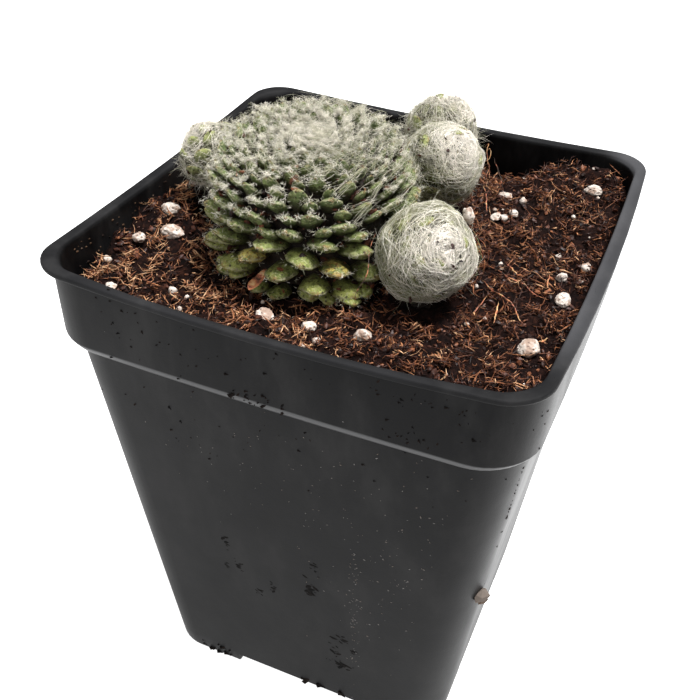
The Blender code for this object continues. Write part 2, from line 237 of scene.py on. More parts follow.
class Paint:
    # a material, its Principled shader and the nodes that feed it
    def __init__(self, name, **fixed):
        self.material = bpy.data.materials.new(name)
        self.material.use_nodes = True
        self.tree = self.material.node_tree
        self.shader = self.tree.nodes["Principled BSDF"]
        self.where = self.node("TexCoord", give="Object")
        for socket, value in fixed.items():
            self.feed(socket.replace("_", " "), value)

    def node(self, kind, settings=None, sockets=None, give=0):
        # any node: its type, its settings, what its sockets hold or are fed by, and the output it gives
        made = self.tree.nodes.new("ShaderNode" + kind)
        for key, value in (settings or {}).items():
            if key == "stops":
                while len(made.color_ramp.elements) < len(value):
                    made.color_ramp.elements.new(0.5)
                for stop, (place, colour) in zip(made.color_ramp.elements, value):
                    stop.position = place
                    stop.color = (*colour, 1)
            else:
                setattr(made, key, value)
        for key, value in (sockets or {}).items():
            if isinstance(value, Wire):
                self.tree.links.new(value.socket, made.inputs[key])
            else:
                made.inputs[key].default_value = value
        return Wire(self, made.outputs[give])

    def feed(self, socket, value):
        # a value or a wire for one of the shader's sockets
        if isinstance(value, Wire):
            self.tree.links.new(value.socket, self.shader.inputs[socket])
        else:
            self.shader.inputs[socket].default_value = value

    def axis(self, letter):
        # how far along that axis a place is, in metres
        return self.node("SeparateXYZ", None, {0: self.where}, letter)

    def grain(self, size, detail=2.0, roughness=0.5, stretch=(1, 1, 1), shift=(0, 0, 0)):
        # noise with features of that size in millimetres, longer along an axis by its stretch
        lay = {"Vector": self.where, "Location": shift, "Scale": tuple(1 / s for s in stretch)}
        place = self.node("Mapping", None, lay, "Vector")
        sockets = {"Vector": place, "Scale": 1 / (size * mm), "Detail": detail, "Roughness": roughness}
        return self.node("TexNoise", None, sockets, "Fac")

    def cells(self, size):
        # how far a place is from the middle of its Voronoi cell, with cells of that size in millimetres
        sockets = {"Vector": self.where, "Scale": 1 / (size * mm)}
        return self.node("TexVoronoi", {"feature": "F1"}, sockets, "Distance")

    def value(self, name):
        # a number that the mesh carries
        return self.node("Attribute", {"attribute_name": name}, None, "Fac")

    def step(self, wire, low, high, first=0.0, last=1.0):
        # rises smoothly from the first value to the last between two values of a wire
        settings = {"interpolation_type": "SMOOTHSTEP"}
        return self.node("MapRange", settings, {0: wire, 1: low, 2: high, 3: first, 4: last}, "Result")

    def rise(self, place, ends, first=0.0, last=1.0):
        # the same along an axis, between two places in millimetres
        return self.step(place, ends[0] * mm, ends[1] * mm, first, last)

    def ramp(self, wire, stops):
        # the colour of a wire's value between stops, each a value and its colour
        return self.node("ValToRGB", {"stops": stops}, {"Fac": wire}, "Color")

    def mix(self, share, first, second):
        # a mixture of two colours or wires of colour, by the share of the second
        pair = {6: first if isinstance(first, Wire) else (*first, 1),
                7: second if isinstance(second, Wire) else (*second, 1)}
        return self.node("Mix", {"data_type": "RGBA"}, {0: share, **pair}, 2)

    def bump(self, height, depth, below=None):
        # a bump of that depth in millimetres, on top of another
        sockets = {"Height": height, "Strength": 1.0, "Distance": depth * mm}
        if below is not None:
            sockets["Normal"] = below
        return self.node("Bump", None, sockets, "Normal")


# Camera, light and floor

studio = {
    "cameraPlace": (56.78, -147.23, 191.34),
    "azimuth": 22.10, "elevation": 37.03, "roll": 2.02, "lens": 49.56,
    "worldColour": (1.0, 1.0, 1.0), "worldStrength": 0.34,
    # round lamps: place, width and power, and the place that they point at
    "lamps": (((650, 250, 2600), 900, 155.0), ((-500, -1900, 1500), 1200, 17.5)), "aim": (0, 0, 100),
    "floorSize": 9000, "floorColour": (0.25, 0.25, 0.25), "floorGlow": 3.3, "floorGlowHere": 0.325,
    # where the floor glows more: across and deep to the right, and across to the left
    "glowRight": ((20, 60), (-70, 50)), "glowLeft": (-130, -40), "leftGlow": 0.1,
}


def makeStudio(s):
    camera = bpy.data.objects.new("camera", bpy.data.cameras.new("camera"))
    bpy.context.scene.collection.objects.link(camera)
    turn = Matrix.Rotation(math.radians(s["azimuth"]), 4, "Z")
    tilt = Matrix.Rotation(math.radians(90 - s["elevation"]), 4, "X")
    roll = Matrix.Rotation(math.radians(s["roll"]), 4, "Z")
    camera.matrix_world = Matrix.Translation(Vector(s["cameraPlace"]) * mm) @ turn @ tilt @ roll
    camera.data.lens = s["lens"]
    camera.data.sensor_width = 36
    camera.data.clip_start = 0.005
    bpy.context.scene.camera = camera

    world = bpy.data.worlds.new("studio")
    world.use_nodes = True
    background = world.node_tree.nodes["Background"]
    background.inputs["Color"].default_value = (*s["worldColour"], 1)
    background.inputs["Strength"].default_value = s["worldStrength"]
    bpy.context.scene.world = world
    bpy.context.scene.view_settings.view_transform = "Standard"

    for place, size, power in s["lamps"]:
        lamp = bpy.data.lights.new("soft box", "AREA")
        lamp.shape = "DISK"
        lamp.size = size * mm
        lamp.energy = power
        box = bpy.data.objects.new("soft box", lamp)
        bpy.context.scene.collection.objects.link(box)
        box.location = Vector(place) * mm
        aim = Vector(s["aim"]) * mm - box.location
        box.rotation_euler = aim.to_track_quat("-Z", "Y").to_euler()

    bpy.ops.mesh.primitive_plane_add(size=s["floorSize"] * mm)
    floor = settle(bpy.context.object, "floor")
    paint = Paint("floor", Roughness=0.9)
    paint.feed("Base Color", (*s["floorColour"], 1))
    across, deep = paint.axis("X"), paint.axis("Y")
    acrossEnds, deepEnds = s["glowRight"]
    right = paint.rise(across, acrossEnds) * paint.rise(deep, deepEnds)
    left = paint.rise(across, s["glowLeft"], 1, 0)
    here = s["floorGlowHere"]
    glow = here + right * (1 - here) + left * s["leftGlow"]
    paint.feed("Emission Color", paint.mix(glow, (0, 0, 0), (1, 1, 1)))
    paint.feed("Emission Strength", s["floorGlow"])
    floor.data.materials.append(paint.material)


makeStudio(studio)
print("studio made")


# The pot

pot = {  # halves are half widths, and bows are how far the back, left, front and right sides stand out
    "height": 106.2, "wall": 1.5,
    "footHalf": 32.2, "footCorner": 7.4, "footRound": 1.0,
    "bodyHalf": 41.6, "bodyCorner": 10.3,
    "collarHeight": 16.0, "collarLowHalf": 43.1, "collarTopHalf": 43.3, "collarCorner": 9.5,
    "shoulder": 1.35, "shoulderStep": 0.78, "shoulderRound": 0.25,
    "rimHalf": 43.9, "rimCorner": 7.2, "rimDepth": 1.05, "rimRound": 0.4, "rimBow": 0.4,
    "mouthHalf": 41.8, "mouthCorner": 6.2, "mouthBows": (0.2, 0.3, 1.6, 0.1),
    "sag": 1.1, "bows": (0.1, -0.3, 0.9, 1.0),
    "floorTop": 4.5, "channelHalf": 14.5, "channelDepth": 3.0,
    "drainRadius": 4.0, "drains": ((0, 0), (22, 0), (0, 22), (-22, 0), (0, -22)), "cutterBelow": 5,
    "cornerSteps": 10, "sideSteps": 6, "bands": (5, 20, 35, 50, 65, 80),
    "smoothAngle": 32,
}


def squareRing(half, corner, height, bow=0.0):
    # the points of a square with round corners, turning left; its sides may bow out a little, each
    # its own way in the order back, left, front and right
    straight = half - corner
    points = []
    for quarter, out in enumerate(bow if isinstance(bow, tuple) else (bow,) * 4):
        turn = Matrix.Rotation(quarter * math.pi / 2, 3, "Z")
        for step in range(pot["cornerSteps"] + 1):
            angle = math.pi / 2 * step / pot["cornerSteps"]
            across, along = corner * math.cos(angle), corner * math.sin(angle)
            points.append(turn @ Vector((straight + across, straight + along, height)))
        for step in range(1, pot["sideSteps"]):
            along = 1 - 2 * step / pot["sideSteps"]
            points.append(turn @ Vector((straight * along, half + out * (1 - along ** 2), height)))
    return points


def slumped(place):
    # where a point of the pot goes once it is filled: its sides bow and its rim sags between corners
    x, y, z = place
    share = max(0, min(1, z / pot["height"])) ** 2
    acrossX, acrossY = min(1, abs(x) / pot["rimHalf"]), min(1, abs(y) / pot["rimHalf"])
    back, left, front, right = pot["bows"]
    x += share * (1 - acrossY ** 2) * acrossX ** 2 * (right if x > 0 else -left)
    y += share * (1 - acrossX ** 2) * acrossY ** 2 * (back if y > 0 else -front)
    middle = (1 - acrossX ** 2) * acrossY ** 2 + (1 - acrossY ** 2) * acrossX ** 2
    return Vector((x, y, z - pot["sag"] * share ** 2 * middle))


def makePot(p):
    shoulder = p["height"] - p["collarHeight"]
    taper = (p["bodyHalf"] - p["footHalf"]) / shoulder
    underRim = p["height"] - p["rimDepth"]
    wall = p["wall"]
    cornerGain = p["bodyCorner"] - p["footCorner"]
    rows = [  # half width, corner radius, height, bow, how far its edge is rounded
        (p["footHalf"], p["footCorner"], 0, 0, p["footRound"]),
        *((p["footHalf"] + taper * z, p["footCorner"] + cornerGain * z / shoulder, z, 0, 0)
          for z in p["bands"]),
        (p["bodyHalf"], p["bodyCorner"], shoulder, 0, 0),
        (p["bodyHalf"] + p["shoulderStep"], p["collarCorner"], shoulder + 0.05, 0, 0.1),
        (p["collarLowHalf"], p["collarCorner"], shoulder + p["shoulder"], 0, p["shoulderRound"]),
        (p["collarTopHalf"], p["collarCorner"], underRim, 0, 0),
        (p["rimHalf"], p["rimCorner"], underRim, p["rimBow"], 0.3),
        (p["rimHalf"], p["rimCorner"], p["height"], p["rimBow"], p["rimRound"]),
        (p["mouthHalf"], p["mouthCorner"], p["height"], p["mouthBows"], p["rimRound"]),
        (p["collarTopHalf"] - wall, p["collarCorner"] - wall, underRim, 0, 0.3),
        (p["collarLowHalf"] - wall, p["collarCorner"] - wall, shoulder + p["shoulder"], 0, 0.4),
        (p["bodyHalf"] - wall, p["bodyCorner"] - wall, shoulder, 0, 0.4),
        (p["footHalf"] + taper * p["floorTop"] - wall, p["footCorner"] - wall / 2, p["floorTop"], 0, 0.6),
    ]
    rings = [squareRing(*row[:4]) for row in rows]
    item = drawUp("pot_shell", rings)
    for ring, row in zip(rings, rows):
        if row[4]:
            roundRing(item, ring, row[4], 3)
    cutters = []
    depth, below = p["channelDepth"], p["cutterBelow"]
    narrow, through = 2 * p["channelHalf"], 3 * p["footHalf"]
    for width, length in ((narrow, through), (through, narrow)):
        bpy.ops.mesh.primitive_cube_add(size=1, location=(0, 0, (depth - below) / 2 * mm),
                                        scale=(width * mm, length * mm, (depth + below) * mm))
        cutters.append(settle(bpy.context.object, "channel"))
    for x, y in p["drains"]:
        bpy.ops.mesh.primitive_cylinder_add(vertices=32, radius=p["drainRadius"] * mm, depth=20 * mm,
                                            location=(x * mm, y * mm, 0))
        cutters.append(settle(bpy.context.object, "drain"))
    cutAway(item, cutters)
    for vert in item.data.vertices:
        vert.co = slumped(vert.co / mm) * mm
    only(item)
    bpy.ops.object.shade_smooth_by_angle(angle=math.radians(p["smoothAngle"]))
    return item


plastic = {
    "specular": 0.092, "black": (0.002, 0.002, 0.0024), "dried": (0.021, 0.0205, 0.0205), "driedShare": 0.65,
    # the ledge under the collar gets a painted highlight, for the bright floor that it reflects, between
    # these heights over it
    "ledgeHighlight": (0.10, 0.10, 0.102), "ledgeHighlightShare": 0.8, "ledgeHighlightLow": (-0.2, 0.1), "ledgeHighlightHigh": (1.1, 1.5),
    # the lip has a painted sheen: a little everywhere, most at the right and somewhat along the front
    "lipSheen": (0.125, 0.125, 0.133), "lip": (-0.9, -0.5), "sheenAll": 0.04, "sheenRight": 0.33,
    "sheenFront": 0.05, "rightAcross": (34, 40), "rightDeep": (-38, -20), "rightEdge": (42.6, 44.6),
    "edgeShare": 0.6, "frontDeep": (-42, -40), "frontLeft": (-38, -28), "frontRight": (20, 32),
}


def plasticPaint(s):
    paint = Paint("pot_plastic", IOR=1.5, Specular_IOR_Level=s["specular"])
    cloud = paint.grain(14, 3)
    fine = paint.grain(0.35, 2)
    film = paint.step(paint.grain(9, 4, 0.6, (1, 1, 2.5)), 0.42, 0.75)  # thin dried film of dirt
    base = paint.mix(film * s["driedShare"], s["black"], s["dried"])
    height = paint.axis("Z")
    ledge = pot["height"] - pot["collarHeight"]
    # painted highlight: the ledge's base colour is made lighter where it would reflect the bright floor
    ledgeLit = paint.rise(height, [ledge + edge for edge in s["ledgeHighlightLow"]])
    ledgeLit = ledgeLit * paint.rise(height, [ledge + edge for edge in s["ledgeHighlightHigh"]], 1, 0)
    base = paint.mix(ledgeLit * s["ledgeHighlightShare"], base, s["ledgeHighlight"])
    across, deep = paint.axis("X"), paint.axis("Y")
    acrossShare, deepShare = (place * place * (1 / (pot["rimHalf"] * mm) ** 2) for place in (across, deep))
    sunk = pot["sag"] * mm * ((1 - acrossShare) * deepShare + (1 - deepShare) * acrossShare)
    lip = paint.rise(height + sunk, [pot["height"] + edge for edge in s["lip"]])
    # painted sheen: the lip's top is made lighter as if it caught the light, most at the right and along the
    # front
    lipSheen = paint.rise(across, s["rightAcross"]) * paint.rise(deep, s["rightDeep"])
    lipSheen = s["sheenAll"] + s["sheenRight"] * lipSheen * paint.rise(across, s["rightEdge"], 1, s["edgeShare"])
    front = paint.rise(deep, s["frontDeep"], 1, 0) * paint.rise(across, s["frontRight"], 1, 0)
    lipSheen = lipSheen + s["sheenFront"] * front * paint.rise(across, s["frontLeft"])
    base = paint.mix(lip * lipSheen * (0.7 + 0.6 * paint.grain(9, 4, 0.6)), base, s["lipSheen"])
    paint.feed("Base Color", base)
    paint.feed("Roughness", 0.36 + cloud * 0.12 + film * 0.1 + fine * 0.06 + lip * 0.2)
    paint.feed("Normal", paint.bump(fine, 0.012, paint.bump(cloud, 0.12)))
    return paint.material


def modelCrumb(name, sides, seed, shape, uneven):
    # an uneven lump, from an icosphere stretched and pushed about
    bpy.ops.mesh.primitive_ico_sphere_add(subdivisions=sides, radius=1, scale=shape)
    item = settle(bpy.context.object, name)
    for vert in item.data.vertices:
        vert.co *= 1 + uneven * noise.noise(vert.co * 1.3 + Vector((seed * 5.1, 0, 0)))
    return item


def overRim(place):
    # a place that is given across, deep and up from the middle of the pot's mouth
    return Vector(place) + up * pot["height"]


def outsideHalf(height):
    # half the pot's width at a height under its lip
    shoulder = pot["height"] - pot["collarHeight"]
    rows = ((0, pot["footHalf"]), (shoulder, pot["bodyHalf"]),
            (shoulder + pot["shoulder"], pot["collarLowHalf"]), (pot["height"], pot["collarTopHalf"]))
    return tableAt(rows, height)


def onFront(x, height):
    # a place on the front and round its corners, and how far the side there faces round
    half, corner = outsideHalf(height), pot["bodyCorner"]
    turned = max(0, min(1.3, (abs(x) - (half - corner)) / corner))
    if turned:
        x = math.copysign(half - corner + corner * math.sin(turned), x)
    return Vector((x, -(half - corner + corner * math.cos(turned)), height)), math.copysign(turned, x)


stains = {  # what clings to the front: middle across and down from the rim, spread, how many, sizes
    "crumbs": ((-1.6, -13.8, 3.2, 1.0, 26, 0.16, 0.55), (24.3, -11.9, 2.6, 1.2, 16, 0.14, 0.4),
               (37.5, -8.9, 2.2, 2.4, 34, 0.14, 0.5), (-20.6, -9.0, 5.0, 2.6, 12, 0.12, 0.34),
               (-9.0, -8.5, 7.0, 3.5, 16, 0.12, 0.36), (12.0, -4.4, 9.0, 1.0, 14, 0.10, 0.30),
               (31.0, -4.6, 4.0, 1.0, 14, 0.12, 0.40), (-24.0, -3.6, 5.0, 0.8, 8, 0.12, 0.30),
               (6.0, -22.0, 14.0, 5.0, 22, 0.10, 0.30), (-8.0, -30.0, 9.0, 6.0, 10, 0.12, 0.40),
               (-22.0, -103.5, 3.0, 1.6, 14, 0.3, 0.9), (-29.5, -98.0, 1.4, 2.5, 8, 0.3, 0.8),
               (14.0, -104.5, 8.0, 0.8, 10, 0.3, 1.0), (44.0, -7.0, 2.6, 2.4, 40, 0.12, 0.5),
               (46.0, -30.0, 2.5, 16.0, 50, 0.12, 0.4), (-26.0, -30.0, 6.0, 16.0, 14, 0.12, 0.35)),
    "blots": ((-13.0, -60.5, 0.3, 0.9, 9, 0.2, 0.7), (-10.5, -66.5, 0.5, 0.9, 13, 0.2, 0.8),
              (-13.5, -68.0, 0.4, 0.8, 6, 0.2, 0.5), (6.2, -58.0, 0.4, 1.0, 10, 0.2, 0.8),
              (4.9, -66.0, 0.6, 1.7, 22, 0.2, 0.9), (-3.5, -71.0, 0.4, 1.4, 10, 0.2, 0.6),
              (-6.8, -73.5, 0.5, 0.5, 7, 0.2, 0.7), (11.8, -80.5, 0.8, 0.7, 12, 0.2, 0.8),
              (14.5, -83.0, 0.5, 0.4, 7, 0.2, 0.6), (10.0, -85.0, 0.7, 1.4, 14, 0.2, 0.7),
              (11.0, -90.0, 1.2, 0.9, 20, 0.2, 0.9), (30.9, -61.6, 1.2, 0.10, 22, 0.12, 0.28)),
    "dust": ((24.0, -52.0, 9.0, 15.0, 170, 0.08, 0.20), (14.5, -68.0, 0.6, 15.0, 70, 0.09, 0.20),
             (4.0, -36.0, 16.0, 10.0, 80, 0.08, 0.15)),
    # each kind's flatness, and its darkest and palest tone
    "kinds": (("crumbs", 0.6, 0, 0.35), ("blots", 0.12, 0, 0.1), ("dust", 0.4, 0.85, 1.0)),
    # lumps: place, size and tone
    "lumps": ((37.4, -31.3, 49.5, 1.5, 0.86), (37.6, -30.6, 47.6, 1.0, 0.8)),
    # crumbs on the left wall's inside: how many, how far down and along, their sizes and tones
    "inside": 70, "insideDown": (1.5, 6.5), "insideAlong": (-36, 38), "insideSize": (0.10, 0.36),
    "insideTone": (0.3, 0.8), "seed": 5,
}


def makeStains(kind, flat, rng):
    # crumbs, blots or dust on the pot's front
    master = modelCrumb(kind + "_master", 1, 2, (1.1, flat, 0.55), 0.9)
    points = pointsOf(master)
    copies = []
    for x, z, wide, high, count, least, most in stains[kind]:
        for _ in range(count):
            height = max(pot["height"] + rng.normal(z, high), 0.6)
            aside = rng.normal(x, wide)
            if abs(aside) < pot["channelHalf"] + 1:
                height = max(height, pot["channelDepth"] + 0.6)
            at, facing = onFront(aside, height)
            size = least + (most - least) * rng.uniform() ** 2
            spin = Matrix.Rotation(facing, 3, "Z") @ Matrix.Rotation(rng.normal(0, 0.7), 3, "Y")
            copies.append(points @ np.array(spin).T * size + np.array(slumped(at)))
    bpy.data.objects.remove(master)
    return copies


def grimePaint():
    paint = Paint("grime", Roughness=0.8, Specular_IOR_Level=0.07)
    stops = ((0, (0.003, 0.003, 0.003)), (0.5, (0.02, 0.013, 0.01)), (0.75, (0.10, 0.06, 0.035)),
             (1, (0.18, 0.175, 0.17)))
    paint.feed("Base Color", paint.ramp(paint.value("tone"), stops))
    return paint.material


def makeGrime(s):
    # all the crumbs, blots, dust and lumps on the pot, as one piece
    rng = np.random.default_rng(s["seed"])
    copies, tones = [], []
    for kind, flat, least, most in s["kinds"]:
        made = makeStains(kind, flat, rng)
        copies += made
        tones.append(rng.uniform(least, most, len(made)))
    master = modelCrumb("grime_master", 1, 2, (1, 1, 1), 0.5)
    for x, y, z, size, tone in s["lumps"]:
        copies.append(pointsOf(master) * size + (x, y, z))
        tones.append([tone])
    for _ in range(s["inside"]):
        height = pot["height"] - rng.uniform(*s["insideDown"])
        at = slumped((pot["wall"] - outsideHalf(height), rng.uniform(*s["insideAlong"]), height))
        copies.append(pointsOf(master) * rng.uniform(*s["insideSize"]) * (0.5, 1, 0.7) + np.array(at))
        tones.append([rng.uniform(*s["insideTone"])])
    return repeat("pot_grime", master, np.array(copies), smooth=False, tone=np.concatenate(tones))


dress(makePot(pot), plasticPaint(plastic), "pot_plastic", "pot")
dress(makeGrime(stains), grimePaint(), "compost")
print("pot made")


# The compost

soil = {
    "gap": 0.3, "edge": pot["height"] - 7.8,
    # mounds: across, deep, how high and how wide
    "mounds": ((-2, 4, 3.0, 24), (-42, -12, 2.4, 14), (-31, -3, 2.0, 9), (2, 29, 2.2, 8),
               (33, 38, 4.6, 13), (15, 44, -4.0, 9), (0, -44, 2.6, 12), (30, -42, 1.8, 12)),
    "uneven": 0.6, "unevenSpacing": 9.0, "hollowDepth": 2.2, "hollowSpread": 4.0,
    "gridSteps": 130, "lumps": ((4.5, 1.5), (1.9, 1.1), (0.9, 0.4)),  # lumps: size and height
}
mother = {
    # tables go by how far a leaf is from the crown's middle, walking down the profile, which is the
    # tips' distance from the stem and height over the rim: a leaf's room and its slope in degrees
    "place": Vector((-7.5, -8.8)),
    "profile": ((0, 15.6), (8, 15.7), (13.5, 15.2), (16.6, 13.2), (18.2, 9.5), (19.3, 4.0), (19.8, -1.0),
                (19.7, -4.2), (18.9, -6.4)),
    "room": ((0, 3.4), (14, 14), (24, 31), (45, 32)),
    "slope": ((0, 89), (7, 80), (14, 62), (21, 38), (27, 22), (33, 10), (42, 5)),
    "widthByRoom": 1.14, "lengthByWidth": 1.4, "thicknessByWidth": ((0, 0.34), (20, 0.40), (32, 0.48)),
    "thinnest": 0.9, "sink": 0.66, "fineStep": 0.05, "nearBalls": 0.4,
    "slimmer": ((0, 1), (6, 0.9), (12, 0.80), (20, 0.80), (25, 0.96), (45, 1)),
    "pointed": ((0, 0.2), (10, 0.5), (20, 0.65), (27, 0.5), (45, 0.45)),
    "between": (4, 24), "betweenSize": 0.8, "betweenDrop": 0.5,  # leaves between the solid's
    # the back of the crown stands higher: how much, towards where and in which rows
    "backLift": 1.5, "backTurn": math.radians(112),
    "backWalks": ((0, 0), (4, 0.1), (11, 1), (17, 0.8), (22, 0)),
    # the upper leaves bend in over the crown, and the tips turn up
    "bentIn": ((0, 0.20), (18, 0.14), (30, 0.03), (45, 0)), "tipUp": 0.10,
    # tips of small leaves that lie on the compost at the front, and their width, length and thickness
    "lowest": ((-6.9, -26.6, -7.0), (-1.1, -24.2, -6.9), (7.0, -22.6, -6.8), (8.3, -19.2, -6.4),
               (-16.2, -24.4, -6.4), (-11.4, -25.9, -7.0), (2.6, -23.6, -7.2), (-20.8, -21.0, -6.4)),
    "lowestSize": (4.6, 6.0, 2.1), "lowestSlope": 0, "lowestWalked": 40, "lowestPointed": 0.6,
    # leaves of another colour, by their tips
    "odd": (((4.8, -24.2, -0.6), 0.9), ((-12.2, -27.9, 0.2), 1.0), ((-19.0, -21.0, -1.0), 0.4)),
    "oddReach": 2.6,
    # where the withered leaf lies, and the room it has
    "withered": ((-9.2, -26.9, -6.0), 3.8),
    "stem": ((2.5, -15), (4.0, -13.5)), "coreSides": 40, "oldest": 45,
    # how each leaf strays from the rule: its size, then its tilt, roll and turn, and its unevenness
    "sizeStray": 0.06, "stray": (0.07, 0.10, 0.10), "rough": 0.06, "roughSize": 1.7, "seed": 31,
}
offsets = {
    # facing is where the crown points; threads and fuzz are how many to the square millimetre; peeping
    # is the share of bright leaves and open is how far the leaves' tips stand out
    "front_right": {"place": (16.3, -15.8, 2.4), "radius": 8.5, "facing": (0.64, -0.52, 0.56),
                    "threads": 6.8, "fuzz": 2.2, "fuzzReach": 1.0, "peeping": 0.3, "open": 0},
    "middle": {"place": (8.9, 13.2, 4.2), "radius": 7.9, "facing": (0.58, -0.22, 0.78),
               "threads": 7.2, "fuzz": 2.2, "fuzzReach": 1.0, "peeping": 0.3, "open": 0},
    "back": {"place": (3.2, 30.0, 2.8), "radius": 7.5, "facing": (0.40, 0.15, 0.90),
             "threads": 4.0, "fuzz": 4.0, "fuzzReach": 1.5, "peeping": 0.35, "open": 0.15},
    "left": {"place": (-31.0, -2.6, 4.0), "radius": 6.7, "facing": (-0.45, -0.20, 0.87),
             "threads": 2.6, "fuzz": 6.0, "fuzzReach": 1.3, "peeping": 0.4, "open": 0.25},
}


def soilHeight(x, y):
    # the height of the compost, which dips under the plants
    s = soil
    height = s["edge"] + s["uneven"] * noise.noise(Vector((x, y, 0)) / s["unevenSpacing"])
    for moundX, moundY, rise, spread in s["mounds"]:
        height += rise * math.exp(-((x - moundX) ** 2 + (y - moundY) ** 2) / spread ** 2)
    lowOut, lowUp = mother["profile"][-1]
    hollows = [(mother["place"], lowOut + s["hollowDepth"], lowUp - s["hollowDepth"])]
    for o in offsets.values():
        bottom = o["place"][2] - o["radius"] - 0.6 * s["hollowDepth"]
        hollows.append((Vector(o["place"]).xy, 0.8 * o["radius"], bottom))
    for middle, reach, floor in hollows:
        beyond = max(0, (Vector((x, y)) - middle).length - reach)
        height = min(height, pot["height"] + floor + beyond ** 2 / s["hollowSpread"])
    return height


perliteNodes = [f"perlite_{number:02d}" for number in range(1, 15)]
perliteBoxes = [[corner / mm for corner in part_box(node)] for node in perliteNodes]


def soilTop(x, y):
    # the compost's height with its lumps, and with a dip round each grain of perlite
    height = soilHeight(x, y)
    for size, rise in soil["lumps"]:
        height += rise * noise.noise(Vector((x, y, 7)) / size)
    for low, high in perliteBoxes:
        beyond = max(0, (Vector((x, y)) - (low + high).xy / 2).length - (high - low).xy.length / 3)
        if beyond < 4:
            height = min(height, low.z + 0.3 * (high.z - low.z) + 0.5 * beyond ** 2)
    return height


def insideHalf(height):
    # half the compost's width at a height
    return outsideHalf(height) - pot["wall"] - soil["gap"]


def makeSoil(s):
    half = insideHalf(s["edge"])
    corner = pot["collarCorner"] - pot["wall"] - s["gap"]
    steps = s["gridSteps"]
    bpy.ops.mesh.primitive_grid_add(x_subdivisions=steps, y_subdivisions=steps, size=2 * half * mm)
    item = settle(bpy.context.object, "compost")
    for vert in item.data.vertices:
        x, y = vert.co.x / mm, vert.co.y / mm
        beyondX, beyondY = abs(x) - (half - corner), abs(y) - (half - corner)
        if beyondX > 0 and beyondY > 0:  # a square corner is drawn in to a round one
            share = max(beyondX, beyondY) / math.hypot(beyondX, beyondY)
            x = math.copysign(half - corner + beyondX * share, x)
            y = math.copysign(half - corner + beyondY * share, y)
        wall = slumped((x, y, s["edge"]))
        vert.co = Vector((wall.x, wall.y, soilTop(x, y))) * mm
    only(item)
    bpy.ops.object.mode_set(mode="EDIT")
    bpy.ops.mesh.select_all(action="SELECT")
    bpy.ops.mesh.region_to_loop()
    shoulder = pot["height"] - pot["collarHeight"]
    before = half
    for height in (shoulder + pot["shoulder"], shoulder, pot["floorTop"] + s["gap"]):
        bpy.ops.mesh.extrude_edges_move()
        shape = bmesh.from_edit_mesh(item.data)
        share = insideHalf(height) / before
        for vert in shape.verts:
            if vert.select:
                vert.co = Vector((vert.co.x * share, vert.co.y * share, height * mm))
        before = insideHalf(height)
        bmesh.update_edit_mesh(item.data)
    bpy.ops.mesh.edge_face_add()
    bpy.ops.mesh.select_all(action="SELECT")
    bpy.ops.mesh.normals_make_consistent(inside=False)
    bpy.ops.object.mode_set(mode="OBJECT")
    bpy.ops.object.shade_smooth()
    return item


def compostPaint():
    # the compost's own dark brown, with painted shade: near black in patches, as in the deep holes between
    # its fibres
    paint = Paint("compost", Roughness=0.95, Specular_IOR_Level=0.08)
    clumps = paint.grain(1.6, 4, 0.65)
    threads = paint.grain(0.5, 3, 0.6, (1, 3, 1))
    shade = clumps * 0.6 + threads * 0.4
    colour = paint.ramp(shade, ((0.4, (0.002, 0.001, 0.001)), (0.55, (0.010, 0.004, 0.003)),
                                (0.68, (0.04, 0.015, 0.009)), (0.8, (0.10, 0.042, 0.025))))
    paint.feed("Base Color", colour)
    paint.feed("Normal", paint.bump(threads, 0.3, paint.bump(clumps, 0.8)))
    return paint.material


dress(makeSoil(soil), compostPaint(), "compost", "soil")
print("compost made")


# What lies in the compost: crumbs, coir fibres and small perlite

litter = {
    "crumbs": 2700, "crumbSize": (0.3, 1.35), "crumbSeed": 11,
    "fibres": 9400, "fibreLength": (1.1, 5.0), "fibreThickness": (0.12, 0.36), "fibreSeed": 12,
    "nest": 2.6, "nestLift": (-0.6, 1.9), "nestStray": 0.2,  # a nest's size, and how high its fibres rise
    "swirl": 3.2, "swirlTurn": 7, "tilt": (0.05, 0.40), "bend": 0.55, "kink": 0.10, "kinks": 9,
    # the fibres' tone, by how full the nest is, and how much paler it is by the place across the pot
    "tone": (0.08, 0.58, 0.32), "darker": 0.05, "straws": (0.18, 0.45),
    "paler": ((-40, 1.3), (-10, 1.05), (20, 0.74), (40, 0.66)),
    "bits": 60, "bitSize": (0.2, 0.55), "bitSeed": 13,
    # the bits that stand out: across, deep and size
    "namedBits": ((36.5, 2.0, 0.9), (21.4, 16.8, 0.9), (-40.0, -27.0, 0.9), (-23.1, -31.8, 0.9),
                  (22.9, 25.3, 0.8), (34.3, 8.4, 0.75), (-19.8, -32.8, 0.5), (39.8, 5.9, 1.0),
                  (5.2, -34.7, 0.8)),
    "margin": 0.6,
}


def spotsOnSoil(rng, count, margin):
    # random places on the compost, clear of the plants, and the height there
    spots = []
    half = insideHalf(soil["edge"]) - margin
    corner = pot["collarCorner"] - pot["wall"] - soil["gap"] - margin
    while len(spots) < count:
        x, y = rng.uniform(-half, half, 2)
        out = max(abs(x) - (half - corner), 0), max(abs(y) - (half - corner), 0)
        if math.hypot(*out) > corner:
            continue
        if (Vector((x, y)) - mother["place"]).length < mother["profile"][-1][0] - 3:
            continue
        if any((Vector((x, y)) - Vector(o["place"]).xy).length < 0.75 * o["radius"]
               for o in offsets.values()):
            continue
        wall = slumped((x, y, soil["edge"]))
        spots.append((wall.x, wall.y, soilTop(x, y)))
    return np.array(spots)


